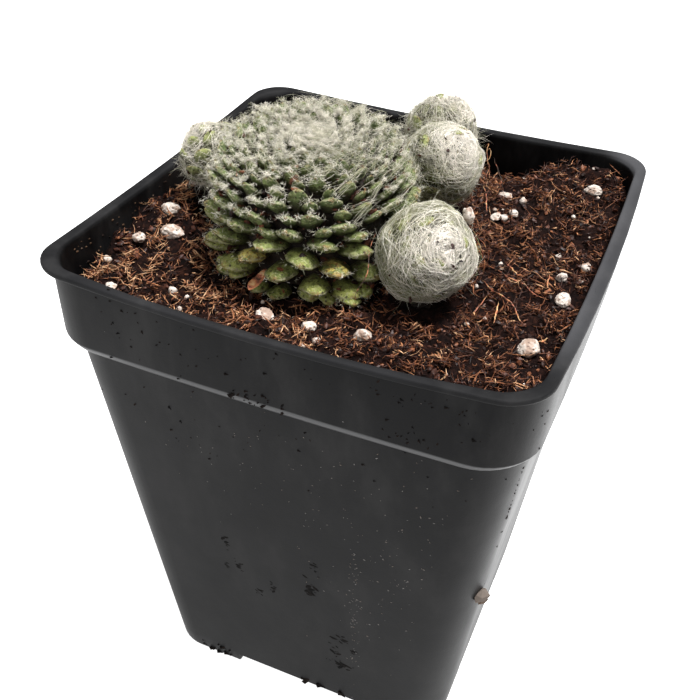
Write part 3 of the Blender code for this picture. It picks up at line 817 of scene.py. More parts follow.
def turns(rng, count, tilt):
    # random turns about the vertical, each then tilted a random amount
    about = rng.uniform(0, math.tau, count)
    lean = rng.normal(0, tilt, count)
    toward = rng.uniform(0, math.tau, count)
    made = [Matrix.Rotation(way, 3, "Z") @ Matrix.Rotation(tipped, 3, "X") @ Matrix.Rotation(spin, 3, "Z")
            for spin, tipped, way in zip(about, lean, toward)]
    return np.array(made)


def strewn(rng, master, spots, sizes, tilt, sunk):
    # copies of a lump at those spots, each with its own size and turn
    points = pointsOf(master)[None] * sizes[:, None, None]
    turned = np.einsum("nij,nkj->nki", turns(rng, len(spots), tilt), points)
    raised = spots + np.outer(sizes * (0.5 - sunk), (0, 0, 1))
    return raised[:, None] + turned


def makeCrumbs(s):
    rng = np.random.default_rng(s["crumbSeed"])
    master = modelCrumb("crumb_master", 1, 3, (1.0, 0.7, 0.45), 0.5)
    spots = spotsOnSoil(rng, s["crumbs"], s["margin"])
    low, high = s["crumbSize"]
    sizes = low + (high - low) * rng.uniform(0, 1, len(spots)) ** 2.2
    return repeat("compost_crumbs", master, strewn(rng, master, spots, sizes * 0.6, 0.7, 0.1),
                  smooth=False, tone=0.6 * rng.uniform(0, 1, len(spots)) ** 1.5)


def makeFibres(s):
    # short fibres in nests, each nest with its own lie and colour, over dark hollows
    rng = np.random.default_rng(s["fibreSeed"])
    spots = spotsOnSoil(rng, 2 * s["fibres"], s["margin"])
    nest = np.array([noise.noise(Vector((x, y, 3)) / s["nest"]) for x, y, _ in spots])
    for low, high in perliteBoxes:  # none over the grains of perlite
        over = np.abs(spots[:, :2] - (low + high).xy / 2) < (high - low).xy / 2 + Vector((0.3, 0.3))
        nest[over.all(axis=1)] -= 5
    keep = np.argsort(-nest + rng.normal(0, s["nestStray"], len(spots)))[:s["fibres"]]
    spots, nest = spots[keep], nest[keep]
    count = len(spots)
    low, high = s["nestLift"]
    share = np.clip(nest * 1.6 + 0.5, 0, 1)
    spots[:, 2] += low * 0.3 + (high - low) * share * rng.uniform(0, 0.7, count)
    swirl = np.array([noise.noise(Vector((x, y, 9)) / s["swirl"]) for x, y, _ in spots])
    lie = swirl * s["swirlTurn"] + rng.normal(0, 0.8, count)
    way = np.stack([np.cos(lie), np.sin(lie), np.zeros(count)], axis=1)
    run = unit(way + (0, 0, 1) * rng.normal(*s["tilt"], (count, 1)))
    bend = anyWay(rng, run) * rng.normal(0, s["bend"], (count, 1))
    kink = anyWay(rng, run) * rng.normal(0, s["kink"], (count, 1))
    part = np.linspace(-0.5, 0.5, 5)[None, :, None]
    least, most = s["fibreLength"]
    reach = rng.uniform(0, 1, (count, 1, 1)) ** 1.8 * (most - least) + least
    wave = np.sin(part * s["kinks"])
    paths = spots[:, None] + reach * (run[:, None] * part + bend[:, None] * part ** 2 + kink[:, None] * wave)
    limit = insideHalf(soil["edge"]) + 0.5
    paths[..., :2] = np.clip(paths[..., :2], -limit, limit)
    thickness = rng.uniform(*s["fibreThickness"], count)
    base, fuller, stray = s["tone"]
    often, brighter = s["straws"]
    paler = tableAt(s["paler"], spots[:, 0])
    tone = (base + fuller * share + rng.normal(0, stray, count)) * paler
    tone = np.clip(tone - s["darker"] + brighter * (rng.uniform(0, 1, count) < often), 0, 1)
    return strands("coir_fibres", paths, thickness, tone)


def fibrePaint():
    paint = Paint("coir", Roughness=0.5, Specular_IOR_Level=0.3)
    tone = paint.value("tone") * 0.9 + (paint.grain(0.8, 3, 0.6) - 0.47) * 1.1
    colour = paint.ramp(tone, ((0.0, (0.010, 0.004, 0.003)), (0.35, (0.055, 0.016, 0.008)),
                               (0.6, (0.20, 0.070, 0.029)), (0.82, (0.40, 0.175, 0.078)),
                               (1.0, (0.63, 0.39, 0.22))))
    paint.feed("Base Color", colour)
    paint.feed("Normal", paint.bump(paint.grain(0.25, 2), 0.06))
    return paint.material


coir = fibrePaint()
dress(makeCrumbs(litter), coir, "compost")
dress(makeFibres(litter), coir, "compost")
print("crumbs and fibres made")


# The perlite

perlite = {
    # the flat faces of a grain: how many, how deep the deepest cuts and how sharp their edges are
    "faces": 13, "least": 0.66, "sharp": 12,
    "pitSize": 0.6, "pitDepth": 0.20, "lumpSize": 0.6, "lumpDepth": 0.14, "seed": 200,
    "large": 2.6,  # from this half diagonal on, a grain has a finer mesh
    "wedged": (21.6, -11.4, 8.6), "wedgedHalf": (0.95, 1.0, 1.6), "wedgedLean": 0.3, "wedgedPit": 0.3,
}


def makeGrain(number, node, s):
    # a broken grain in its solid's box: a ball cut by flat faces, with bubbles and pits in it
    low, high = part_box(node)
    half = (high - low) / 2
    bpy.ops.mesh.primitive_ico_sphere_add(subdivisions=5 if half.length > s["large"] * mm else 4, radius=1)
    item = settle(bpy.context.object, f"grain_{number:02d}")
    middle = (low + high) / 2
    shift = Vector((number * 9.7, 0, 0))
    chance = np.random.default_rng(s["seed"] + number)
    normals = unit(chance.normal(size=(s["faces"], 3)))
    depths = chance.uniform(s["least"], 1.0, s["faces"])
    for vert in item.data.vertices:
        way = vert.co.normalized()
        facing = np.maximum(normals @ np.array(way), 0) / depths
        reach = 1 / (1 + (facing ** s["sharp"]).sum()) ** (1 / s["sharp"])
        place = Vector(a * b for a, b in zip(way, half)) * reach
        lump = noise.noise(place / mm / s["lumpSize"] + shift)
        near = noise.voronoi(place / mm / s["pitSize"] + shift)[0][0]
        pit = max(0, 0.5 - near) / 0.5
        place += way * mm * (s["lumpDepth"] * lump - s["pitDepth"] * pit)
        vert.co = middle + place
    only(item)
    bpy.ops.object.shade_smooth()
    return item


def makeBits(s, rng):
    master = modelCrumb("bit_master", 2, 8, (1.0, 0.85, 0.7), 0.45)
    spots = list(spotsOnSoil(rng, s["bits"], s["margin"]))
    spots += [(x, y, soilTop(x, y) + 0.4) for x, y, _ in s["namedBits"]]
    sizes = np.append(rng.uniform(*s["bitSize"], s["bits"]), [size for _, _, size in s["namedBits"]])
    spots = np.array(spots)
    return repeat("perlite_bits", master, strewn(rng, master, spots, sizes, 0.6, 0.1))


def makeWedged(s):
    # a grain that clings to the ball at the front, in no solid's place
    item = modelCrumb("wedged_grain", 4, 4, s["wedgedHalf"], 0.4)
    lean = Matrix.Rotation(s["wedgedLean"], 3, "X")
    for vert in item.data.vertices:
        near = noise.voronoi(vert.co / s["pitSize"])[0][0]
        pitted = lean @ (vert.co * (1 - s["wedgedPit"] * max(0, 0.5 - near)))
        vert.co = (pitted + Vector(s["wedged"]) + up * pot["height"]) * mm
    only(item)
    bpy.ops.object.shade_smooth()
    return item


def perlitePaint():
    paint = Paint("perlite", Roughness=0.8)
    stain = paint.step(paint.grain(2.2, 3, 0.6), 0.48, 0.60)
    pits = paint.step(paint.cells(0.7), 0.18, 0.34, 1, 0) * paint.step(paint.grain(1.2, 2), 0.42, 0.52)
    clean = paint.mix(paint.step(paint.grain(0.7, 3), 0.36, 0.64), (0.62, 0.55, 0.49), (0.42, 0.36, 0.31))
    dirty = paint.mix(stain * 0.8, clean, (0.26, 0.16, 0.11))
    paint.feed("Base Color", paint.mix(pits * 0.75, dirty, (0.10, 0.06, 0.045)))
    paint.feed("Normal", paint.bump(pits, -0.12, paint.bump(paint.grain(0.3, 3), 0.08)))
    return paint.material


white = perlitePaint()
for number, node in enumerate(perliteNodes, 1):
    dress(makeGrain(number, node, perlite), white, "perlite", node)
dress(makeBits(litter, np.random.default_rng(litter["bitSeed"])), white, "perlite")
dress(makeWedged(perlite), white, "perlite")
print("perlite made")


# The leaves

leafForm = {  # from the root to the tip: how far along, how wide and how thick
    "sides": 8,
    "stations": ((0.06, 0.44, 0.80), (0.25, 0.66, 1.0), (0.45, 0.87, 1.0), (0.63, 0.99, 0.92),
                 (0.79, 0.91, 0.80), (0.91, 0.62, 0.58), (0.975, 0.29, 0.32)),
    "flat": 1.6,
}


def modelLeaf(f):
    # a plump pointed leaf of unit size, from a ball whose poles are its root and its tip
    rings = len(f["stations"])
    bpy.ops.mesh.primitive_uv_sphere_add(segments=f["sides"], ring_count=rings + 1, radius=1)
    item = settle(bpy.context.object, "leaf_master")
    for vert in item.data.vertices:
        ring = round(math.acos(max(-1, min(1, vert.co.z))) / math.pi * (rings + 1))
        if 0 < ring <= rings:
            along, wide, thick = f["stations"][ring - 1]
            across = Vector((vert.co.x, vert.co.y)).normalized()
            rise = math.copysign(abs(across.y) ** f["flat"], across.y)
            vert.co = Vector((across.x * wide / 2, along, -rise * thick / 2))
        else:
            vert.co = Vector((0, 0 if ring == 0 else 1, 0))
    return item


def leafPlaces(profile, room, fineStep):
    # spreads leaves over a turned surface, a golden angle from one to the next
    count, number, walked, passed = 0.5, 0, 0.0, 0.0
    for (r0, z0), (r1, z1) in zip(profile, profile[1:]):
        length = math.hypot(r1 - r0, z1 - z0)
        steps = max(1, round(length / fineStep))
        for i in range(steps):
            part = (i + 0.5) / steps
            radius, here = r0 + (r1 - r0) * part, walked + length * part
            share = tableAt(room, here)
            count += math.tau * radius * 2 * (here - passed) / share
            passed = 2 * here - passed
            while count >= number + 1:
                yield number * goldenAngle, radius, z0 + (z1 - z0) * part, here, share
                number += 1
        walked += length


def motherPlaces(m):
    # where the solid has leaves, and between them in the upper rows others, smaller and deeper
    profile = np.array(m["profile"], dtype=float)
    walks = np.append(0, np.cumsum(np.linalg.norm(np.diff(profile, axis=0), axis=1)))
    for turn, radius, height, walked, share in leafPlaces(m["profile"], m["room"], m["fineStep"]):
        yield turn, radius, height, walked, share, 1, 0
        low, high = m["between"]
        if low < walked < high:
            gap = math.sqrt(share)
            further = walked + 0.45 * gap
            radius = np.interp(further, walks, profile[:, 0])
            height = np.interp(further, walks, profile[:, 1])
            beside = turn + 0.5 * gap / radius
            yield beside, radius, height, further, share, m["betweenSize"], m["betweenDrop"]


def leafWays(turn, slope):
    # a leaf's directions: away from the stem, along it, across it and out of its upper side
    away = Vector((math.cos(turn), math.sin(turn), 0))
    return {"turn": turn, "away": away, "across": Vector((-math.sin(turn), math.cos(turn), 0)),
            "along": away * math.cos(slope) + up * math.sin(slope),
            "outward": up * math.cos(slope) - away * math.sin(slope)}


def motherLeaves(m):
    # each leaf of the mother: its tip, directions and size
    witheredPlace, witheredRoom = m["withered"]
    for turn, radius, height, walked, share, size, drop in motherPlaces(m):
        width = m["widthByRoom"] * math.sqrt(share) * size * tableAt(m["slimmer"], walked)
        length = m["lengthByWidth"] * m["widthByRoom"] * math.sqrt(share) * size
        ways = leafWays(turn, math.radians(tableAt(m["slope"], walked)))
        tip = m["place"].to_3d() + ways["away"] * radius + up * (pot["height"] + height)
        tip -= ways["along"] * drop
        tip += up * m["backLift"] * max(0, math.cos(turn - m["backTurn"])) * tableAt(m["backWalks"], walked)
        if any((tip - overRim(o["place"])).length <= o["radius"] + m["nearBalls"] for o in offsets.values()):
            continue
        if (tip - overRim(witheredPlace)).length <= witheredRoom:
            continue
        near = [how for place, how in m["odd"] if (tip - overRim(place)).length < m["oddReach"]]
        thickness = max(tableAt(m["thicknessByWidth"], walked) * width, m["thinnest"])
        yield {"tip": tip, "width": width, "length": length, "thickness": thickness, "walked": walked,
               "odd": max(near, default=0), "pointed": tableAt(m["pointed"], walked), **ways}
    width, length, thickness = m["lowestSize"]
    for place in m["lowest"]:
        turn = math.atan2(place[1] - m["place"].y, place[0] - m["place"].x)
        yield {"tip": overRim(place), "width": width, "length": length, "thickness": thickness,
               "walked": m["lowestWalked"], "odd": 0, "pointed": m["lowestPointed"],
               **leafWays(turn, math.radians(m["lowestSlope"]))}


def placeLeaves(m, master, leaves, rng):
    # the points of every leaf, each a little turned, rolled and tilted: the upper ones bend in over the
    # crown, and the lower ones lie flat with a tip that turns up
    points = pointsOf(master)
    along = points[:, 1]
    made = []
    for leaf in leaves:
        wider, longer = rng.normal(1, m["sizeStray"], 2)
        tilt, roll, yaw = rng.normal(0, m["stray"])
        back = (1 - along) * leaf["length"] * longer
        side = points[:, 0] * leaf["width"] * wider * (1 - leaf["pointed"] * np.clip(along - 0.45, 0, 1))
        bentIn = tableAt(m["bentIn"], leaf["walked"])
        curve = leaf["length"] * (m["tipUp"] * (along - 0.9) ** 2 - bentIn * (along - 1) ** 2 - 0.001)
        rise = curve + points[:, 2] * leaf["thickness"] + back * tilt + side * roll
        side = side + (back - 0.5 * leaf["length"]) * yaw
        place = (np.array(leaf["tip"]) - np.outer(back, leaf["along"]) + np.outer(side, leaf["across"])
                 + np.outer(rise, leaf["outward"]))
        rough = np.array([noise.noise_vector(Vector(point) / m["roughSize"]) for point in place])
        made.append(place + rough * m["rough"] * leaf["width"])
    return np.array(made)


def edgeShare(master):
    # 1 along a leaf's edge and 0 along its middle
    points = pointsOf(master)
    widths = [(0, 0.3), *((along, wide) for along, wide, _ in leafForm["stations"]), (1, 0.1)]
    return np.clip(np.abs(points[:, 0]) / (tableAt(widths, points[:, 1]) / 2), 0, 1)


def makeCore(m):
    # the mother's stem and the heart that the leaves grow from, which is painted dark as the shade between
    # them
    heart, walked = [], 0.0
    for (r0, z0), (r1, z1) in zip(m["profile"], m["profile"][1:]):
        length = math.hypot(r1 - r0, z1 - z0)
        here = walked + length / 2
        width = m["widthByRoom"] * math.sqrt(tableAt(m["room"], here))
        sink = m["sink"] * m["lengthByWidth"] * width
        slope = math.radians(tableAt(m["slope"], here))
        heart.append(((r0 + r1) / 2 - sink * math.cos(slope), (z0 + z1) / 2 - sink * math.sin(slope)))
        walked += length
    rows = [*m["stem"], (m["stem"][-1][0], m["profile"][-1][1]), *heart[::-1]]
    sides = [math.tau * side / m["coreSides"] for side in range(m["coreSides"])]
    x, y = m["place"]
    rings = [[(x + radius * math.cos(t), y + radius * math.sin(t), pot["height"] + height) for t in sides]
             for radius, height in rows]
    return drawUp("mother_core", rings)


leaves = list(motherLeaves(mother))
rng = np.random.default_rng(mother["seed"])
noise.seed_set(mother["seed"])  # noise_vector takes its start from the clock otherwise
leafMaster = modelLeaf(leafForm)
points = placeLeaves(mother, leafMaster, leaves, rng)
walks = np.array([leaf["walked"] for leaf in leaves])
alongShare = np.tile(pointsOf(leafMaster)[:, 1], (len(leaves), 1))
edges = np.tile(edgeShare(leafMaster), (len(leaves), 1))
motherItem = repeat("mother_leaves", leafMaster, points, keep=True, tone=rng.uniform(0, 1, len(leaves)),
                    age=walks / mother["oldest"], along=alongShare, edge=edges,
                    odd=[leaf["odd"] for leaf in leaves])
print("mother leaves made:", len(leaves))


def leafPaint(name, young, old):
    # a leaf's green, darkest and lightest, while it is young and once it is old
    paint = Paint(name, Roughness=0.5, IOR=1.42)
    along, edge, age, tone = (paint.value(key) for key in ("along", "edge", "age", "tone"))
    mottle = paint.step(paint.grain(1.5, 4, 0.65), 0.36, 0.64)
    fine = paint.step(paint.grain(0.45, 3, 0.6), 0.34, 0.66)
    share = mottle * 0.45 + fine * 0.25 + tone * 0.35 - 0.05
    green = paint.mix(paint.step(age, 0.45, 0.8), paint.mix(share, *young), paint.mix(share, *old))
    straw = paint.ramp(fine + mottle - 0.5, ((0.1, (0.10, 0.035, 0.012)), (0.45, (0.36, 0.24, 0.04)),
                                             (0.9, (0.55, 0.48, 0.12))))
    green = paint.mix(paint.value("odd") * paint.step(mottle, 0.1, 0.5), green, straw)
    # painted shade: each leaf darkens towards its root, where the leaves over it shade it
    root = paint.step(along + age * 0.2, 0.45, 0.9, 1, 0)
    green = paint.mix(root * 0.85, green, (0.020, 0.013, 0.007))
    pale = paint.step(paint.grain(0.5, 3, 0.7, shift=(7, 0, 0)), 0.53, 0.60)
    green = paint.mix(pale * paint.step(along, 0.6, 0.95) * 0.55, green, (0.55, 0.54, 0.30))
    tip = paint.step(along + fine * 0.08, 0.96, 1.06)
    green = paint.mix(tip * 0.7, green, (0.26, 0.13, 0.06))
    margin = paint.step(edge + fine * 0.16, 0.92, 1.08) * paint.step(along, 0.5, 0.8)
    green = paint.mix(margin * 0.7, green, (0.50, 0.47, 0.30))
    specks = paint.step(paint.cells(0.85), 0.20, 0.34, 1, 0) * paint.step(paint.grain(1.6, 2), 0.46, 0.52)
    dirt = paint.step(paint.grain(0.9, 4, 0.7), 0.51, 0.58) * paint.step(along, 0.6, 1.0, 1, 0.15)
    green = paint.mix(dirt * 0.75, green, (0.035, 0.018, 0.009))
    paint.feed("Base Color", paint.mix(specks * 0.85, green, (0.025, 0.018, 0.010)))
    paint.feed("Roughness", 0.46 + fine * 0.2)
    paint.feed("Normal", paint.bump(fine, 0.10, paint.bump(mottle, 0.18)))
    return paint.material


def heartShadePaint():
    # what shows deep between the leaves, the old roots of leaves and caught compost, painted nearly black as
    # the shade there
    paint = Paint("painted_shade_heart", Roughness=0.9)
    clumps = paint.grain(1.2, 4, 0.65)
    paint.feed("Base Color", paint.ramp(clumps, ((0.35, (0.004, 0.003, 0.002)), (0.55, (0.018, 0.010, 0.005)),
                                                 (0.75, (0.05, 0.028, 0.014)))))
    paint.feed("Normal", paint.bump(clumps, 0.8))
    return paint.material


greens = {
    "young": ((0.035, 0.060, 0.018), (0.22, 0.28, 0.09)), "old": ((0.080, 0.110, 0.020), (0.44, 0.47, 0.12)),
    "ball": ((0.032, 0.050, 0.018), (0.34, 0.37, 0.13)),
}
leafMaterial = leafPaint("houseleek_leaf", greens["young"], greens["old"])
ballMaterial = leafPaint("woolly_leaf", greens["ball"], greens["ball"])
heartShadeMaterial = heartShadePaint()
dress(makeCore(mother), heartShadeMaterial, "leaf")
dress(motherItem, leafMaterial, "leaf", "mother_rosette")


# The wool

woolPieces = {
    # knots of wool on a leaf: how far back from its tip, how far aside, share of the hairs, size
    "knots": ((0.0, 0.0, 0.46, 1.0), (0.14, -0.6, 0.17, 0.75), (0.14, 0.6, 0.17, 0.75),
              (0.34, -0.9, 0.10, 0.6), (0.34, 0.9, 0.10, 0.6)),
    "hairs": ((0, 230), (4, 190), (7, 120), (10, 84), (14, 80), (18, 62), (22, 40), (26, 24), (31, 10),
              (33, 0)),
    "knotSize": ((0, 0.38), (6, 0.46), (14, 0.58), (24, 0.6), (34, 0.5)),
    "rise": ((0, 0.1), (10, 0.3), (22, 0.4), (34, 0.2)),
    "hairLength": (0.5, 1.5), "hairThickness": (0.05, 0.085), "curl": 0.20,
    # leaves with little wool: patches of them, more at the right, and from where on they are barest
    "bareSize": 7.0, "bare": 1.7, "barerRight": 0.4, "fullness": ((12, 0.8), (24, 0.3)), "fullest": 1.4,
    "toneByCrown": ((0, 0.2), (6, 0.4), (12, 0.7)), "parts": ((0, 15), (15, 21), (21, 35)),
    # a mat of hairs between neighbours
    "mat": ((0, 16), (6, 12), (10, 4), (16, 3)), "matTo": 16, "matLinks": 3, "matReach": 1.2,
    "matStray": 0.6, "matThickness": (0.04, 0.06), "matTone": (0.1, 0.8),
    # the whorl in the middle of the crown
    "whorl": 440, "whorlReach": 4.6, "whorlLength": (1.5, 5.0), "whorlLift": (-0.1, 0.75),
    "whorlThickness": (0.045, 0.08), "whorlTone": (0.25, 0.95),
    # strands combed one way, in which rows and how far round from the right
    "streaks": 6, "streakRows": (8, 23), "streakWay": math.radians(67), "streakSide": math.radians(10),
    "streakRound": 0.3, "streakNear": (0.5, 8), "streakReach": 1.4, "streakStray": 0.5,
    "streakThickness": (0.05, 0.085), "streakTone": (0, 0.6),
    "cilia": 26, "ciliaFrom": 21, "ciliaBack": 0.38, "ciliaLength": (0.35, 0.9),
    "ciliaThickness": (0.04, 0.06),
}


def woolPaint(light, dark, patchy):
    # from dark to light by the hair's tone, which on the webs also holds painted shade, with patches of a
    # third colour
    paint = Paint("wool", Roughness=0.8)
    base = paint.mix(paint.value("tone"), dark, light)
    patch = paint.grain(3.5, 2)
    paint.feed("Base Color", paint.mix(paint.step(patch, 0.45, 0.8) * 0.3, base, patchy))
    return paint.material


wool = woolPaint((0.97, 0.91, 0.83), (0.22, 0.23, 0.10), (0.50, 0.48, 0.30))


def tangle(rng, middles, normals, size, length, curl):
    # curly hairs lying criss-cross in a flat clump round each middle
    count = len(middles)
    run = unit(anyWay(rng, normals) + normals * rng.normal(0.05, 0.30, (count, 1)))
    spread = anyWay(rng, normals) * np.abs(rng.normal(0, 1, (count, 1)))
    spread = spread + normals * rng.normal(0.1, 0.35, (count, 1))
    first, reach = anyWay(rng, run), rng.uniform(*length, (count, 1, 1))
    second = np.cross(run, first)
    part = np.linspace(-0.5, 0.5, 4)[None, :, None]
    phase = rng.uniform(0, math.tau, (2, count, 1, 1))
    pace = rng.uniform(3.0, 6.5, (count, 1, 1))
    curls = first[:, None] * np.sin(part * pace + phase[0]) + second[:, None] * np.cos(part * pace + phase[1])
    return (middles + spread * size[:, None])[:, None] + reach * (run[:, None] * part + curl * curls)


def makeKnots(name, w, rng, low, high):
    # knots of wool at the tips and along the edges of the upper leaves, between two walks from the crown
    middles, normals, sizes = [], [], []
    for leaf in leaves:
        walked = leaf["walked"]
        if not low <= walked < high:
            continue
        tip, along, across, outward = (np.array(leaf[key]) for key in ("tip", "along", "across", "outward"))
        surface = unit(along * 0.7 + outward * 0.6)
        bare = w["bare"] * noise.noise(leaf["tip"] / w["bareSize"]) * min(1, walked / 12)
        bare -= w["barerRight"] * max(0, math.cos(leaf["turn"] + 0.3)) * min(1, walked / 14)
        fullness = max(0.12, rng.uniform(tableAt(w["fullness"], walked), w["fullest"]) + bare)
        for back, aside, share, size in w["knots"]:
            count = int(tableAt(w["hairs"], walked) * share * fullness)
            middle = tip - along * back * leaf["length"] + across * aside * leaf["width"] / 2
            middle = middle + surface * tableAt(w["rise"], walked) + rng.normal(0, 0.15, 3)
            middles.append(np.tile(middle, (count, 1)))
            normals.append(np.tile(surface, (count, 1)))
            sizes.append(np.full(count, size * tableAt(w["knotSize"], walked)))
    middles, normals, sizes = np.concatenate(middles), np.concatenate(normals), np.concatenate(sizes)
    paths = tangle(rng, middles, normals, sizes, w["hairLength"], w["curl"])
    thickness = rng.uniform(*w["hairThickness"], len(middles))
    crown = np.linalg.norm(middles[:, :2] - np.array(mother["place"]), axis=1)
    tone = rng.uniform(0, 1, len(middles)) ** tableAt(w["toneByCrown"], crown)
    return strands(name, paths, thickness, tone)


def spunBetween(name, rng, links, reach, stray, thickness, tone):
    # hairs drawn from leaf to leaf, sagging or standing off a little: each link is a leaf, the way to
    # another one's tip and how many hairs
    links = [(leaf, link) for leaf, link, count in links for _ in range(count)]
    starts = np.array([leaf["tip"] for leaf, _ in links])
    ends = np.array([leaf["tip"] + link * reach for leaf, link in links])
    normals = unit(np.array([leaf["outward"] * 0.6 + leaf["along"] * 0.7 for leaf, _ in links]))
    count = len(links)
    starts = starts + rng.normal(0, stray, starts.shape) - (ends - starts) * rng.uniform(0, 0.3, (count, 1))
    ends = ends + rng.normal(0, stray, ends.shape)
    part = np.linspace(0, 1, 4)[None, :, None]
    bow = normals * rng.uniform(-0.3, 0.5, (count, 1))
    bow = bow + anyWay(rng, normals) * rng.normal(0, 0.35, (count, 1))
    paths = starts[:, None] * (1 - part) + ends[:, None] * part + 4 * part * (1 - part) * bow[:, None]
    return strands(name, paths, rng.uniform(*thickness, count), rng.uniform(*tone, count))


def linksFrom(leaf, others):
    # the ways from a leaf's tip to the others' tips, the nearest first
    return sorted((other["tip"] - leaf["tip"] for other in others), key=lambda link: link.length)


def makeStreaks(w, rng):
    # strands combed one way from leaf to leaf, on the right side of the crown
    first, last = w["streakRows"]
    tips = [leaf for leaf in leaves if first < leaf["walked"] < last]
    way = Vector((math.cos(w["streakWay"]), math.sin(w["streakWay"]), 0))
    low, high = w["streakNear"]
    links = []
    for leaf in tips:
        if math.cos(leaf["turn"] - w["streakSide"]) >= w["streakRound"]:
            combed = [link for link in linksFrom(leaf, tips)
                      if low < link.length < high and link.normalized().dot(way) > 0.8]
            links += [(leaf, link, w["streaks"]) for link in combed[:1]]
    return spunBetween("mother_streaks", rng, links, w["streakReach"], w["streakStray"], w["streakThickness"],
                       w["streakTone"])


def makeMat(w, rng):
    # a fine mat of hairs from each upper leaf to those next to it
    tips = [leaf for leaf in leaves if leaf["walked"] < w["matTo"]]
    links = [(leaf, link, round(tableAt(w["mat"], leaf["walked"])))
             for leaf in tips for link in linksFrom(leaf, tips)[1:w["matLinks"] + 1]]
    return spunBetween("mother_mat", rng, links, w["matReach"], w["matStray"], w["matThickness"],
                       w["matTone"])


def makeWhorl(w, rng):
    # hairs laid round the middle of the crown
    count = w["whorl"]
    radius = 0.2 + w["whorlReach"] * rng.uniform(0, 1, (count, 1)) ** 0.8
    swing = rng.uniform(*w["whorlLength"], (count, 1)) / np.maximum(radius, 1.0)
    part = np.linspace(-0.5, 0.5, 5)[None, :]
    around = rng.uniform(0, math.tau, (count, 1)) + swing * part
    out = radius * (1 + rng.normal(0.2, 0.3, (count, 1)) * part)
    radii, heights = np.transpose(mother["profile"][:4])
    height = pot["height"] + np.interp(out, radii, heights)
    height = height + rng.uniform(*w["whorlLift"], (count, 1)) - part ** 2
    middle = mother["place"]
    paths = np.stack([middle.x + out * np.cos(around), middle.y + out * np.sin(around), height], axis=-1)
    thickness = rng.uniform(*w["whorlThickness"], count)
    return strands("crown_whorl", paths, thickness, rng.uniform(*w["whorlTone"], count))


def makeCilia(w, rng):
    # fine hairs along the edges of the lower leaves
    widths = [*((along, wide) for along, wide, _ in leafForm["stations"]), (1, 0.05)]
    roots, ways = [], []
    for leaf in leaves:
        if leaf["walked"] < w["ciliaFrom"]:
            continue
        tip, along, across, outward = (np.array(leaf[key]) for key in ("tip", "along", "across", "outward"))
        for place in rng.uniform(-1, 1, w["cilia"]):
            at = 1 - w["ciliaBack"] * place ** 2
            aside = math.copysign(tableAt(widths, at) / 2, place)
            roots.append(tip - along * (1 - at) * leaf["length"] + across * aside * leaf["width"])
            ways.append(along * (1 - abs(place)) + across * place + outward * rng.normal(0, 0.5))
    roots, ways = np.array(roots), unit(np.array(ways))
    part = np.linspace(0, 1, 4)[None, :, None]
    reach = rng.uniform(*w["ciliaLength"], (len(roots), 1, 1))
    bend = anyWay(rng, ways) * rng.normal(0, 0.3, (len(roots), 1))
    paths = roots[:, None] + reach * (ways[:, None] * part + bend[:, None] * part ** 2)
    thickness = rng.uniform(*w["ciliaThickness"], len(roots))
    return strands("leaf_cilia", paths, thickness, rng.uniform(0.2, 1, len(roots)))


for number, (low, high) in enumerate(woolPieces["parts"]):
    name = f"mother_wool_{number + 1}"
    dress(makeKnots(name, woolPieces, np.random.default_rng(41 + number), low, high), wool, "woolly_leaf")
for make, seed in ((makeStreaks, 45), (makeMat, 48), (makeWhorl, 49), (makeCilia, 46)):
    dress(make(woolPieces, np.random.default_rng(seed)), wool, "woolly_leaf")
print("mother wool made")


# The offsets

ball = {
    "room": ((0, 5.0), (10, 19), (30, 24)), "reach": math.radians(128), "arcSteps": 24,
    "length": 1.5, "width": 1.15, "halfThickness": 0.55, "lean": 0.95, "sink": 1.9, "stemRadius": 1.7,
    "lifts": ((0, -2.2), (0.5, -1.15), (1, -0.62)), "peepingLift": 0.55,  # a leaf's height along it
    "uneven": 0.8, "unevenSize": 4.0,
    # the web's threads: how they run, where they thin out, and by the angle from the crown how many
    # are kept and how much whiter they are
    "strandLength": (2.5, 11.0), "strandThickness": (0.05, 0.10), "strandWave": 0.04,
    "heading": 0.60, "headingPatch": 1.3, "webLift": (-0.85, 0.25), "loose": (0.12, 0.35),
    "thinSize": 0.42, "thinness": 1.6, "kept": ((0, 1.28), (0.9, 0.78), (1.7, 0.43)),
    "whiter": ((0, 0.7), (0.6, 0.22), (1.1, -0.14), (1.8, -0.36)), "webToneAndShade": (0.02, 0.78, 0.32),
    "fuzzLength": (0.6, 2.2), "fuzzThickness": (0.04, 0.07), "fuzzLift": (0.0, 0.9), "fuzzCurl": 0.8,
    "fuzzDroop": 0.25, "fuzzWhiter": ((0, 0.5), (0.7, 0)), "seed": 50,
}


def ballLeaves(radius):
    # the scale leaves of a ball, in the same places as the solid's
    angles = [ball["reach"] * step / ball["arcSteps"] for step in range(ball["arcSteps"] + 1)]
    profile = [(radius * math.sin(a), radius * math.cos(a)) for a in angles]
    for turn, _, _, walked, share in leafPlaces(profile, ball["room"], mother["fineStep"]):
        yield turn, walked / radius, ball["width"] * math.sqrt(share), ball["length"] * math.sqrt(share)


def middleOf(o):
    # the middle of an offset
    return np.array(o["place"]) + (0, 0, pot["height"])


def onBall(o, angle, turn, lift):
    # points over an offset, by the angle from its crown, the turn round it and the height over it
    turned = np.array(up.rotation_difference(Vector(o["facing"]).normalized()).to_matrix())
    way = np.stack([np.sin(angle) * np.cos(turn), np.sin(angle) * np.sin(turn), np.cos(angle)], axis=-1)
    way = way @ turned.T
    flat = (way * o["radius"]).reshape(-1, 3) + o["place"]
    bumps = np.array([noise.noise(Vector(p) / ball["unevenSize"]) for p in flat]).reshape(way.shape[:-1])
    return middleOf(o) + way * (o["radius"] + lift + ball["uneven"] * (bumps - 0.3))[..., None]


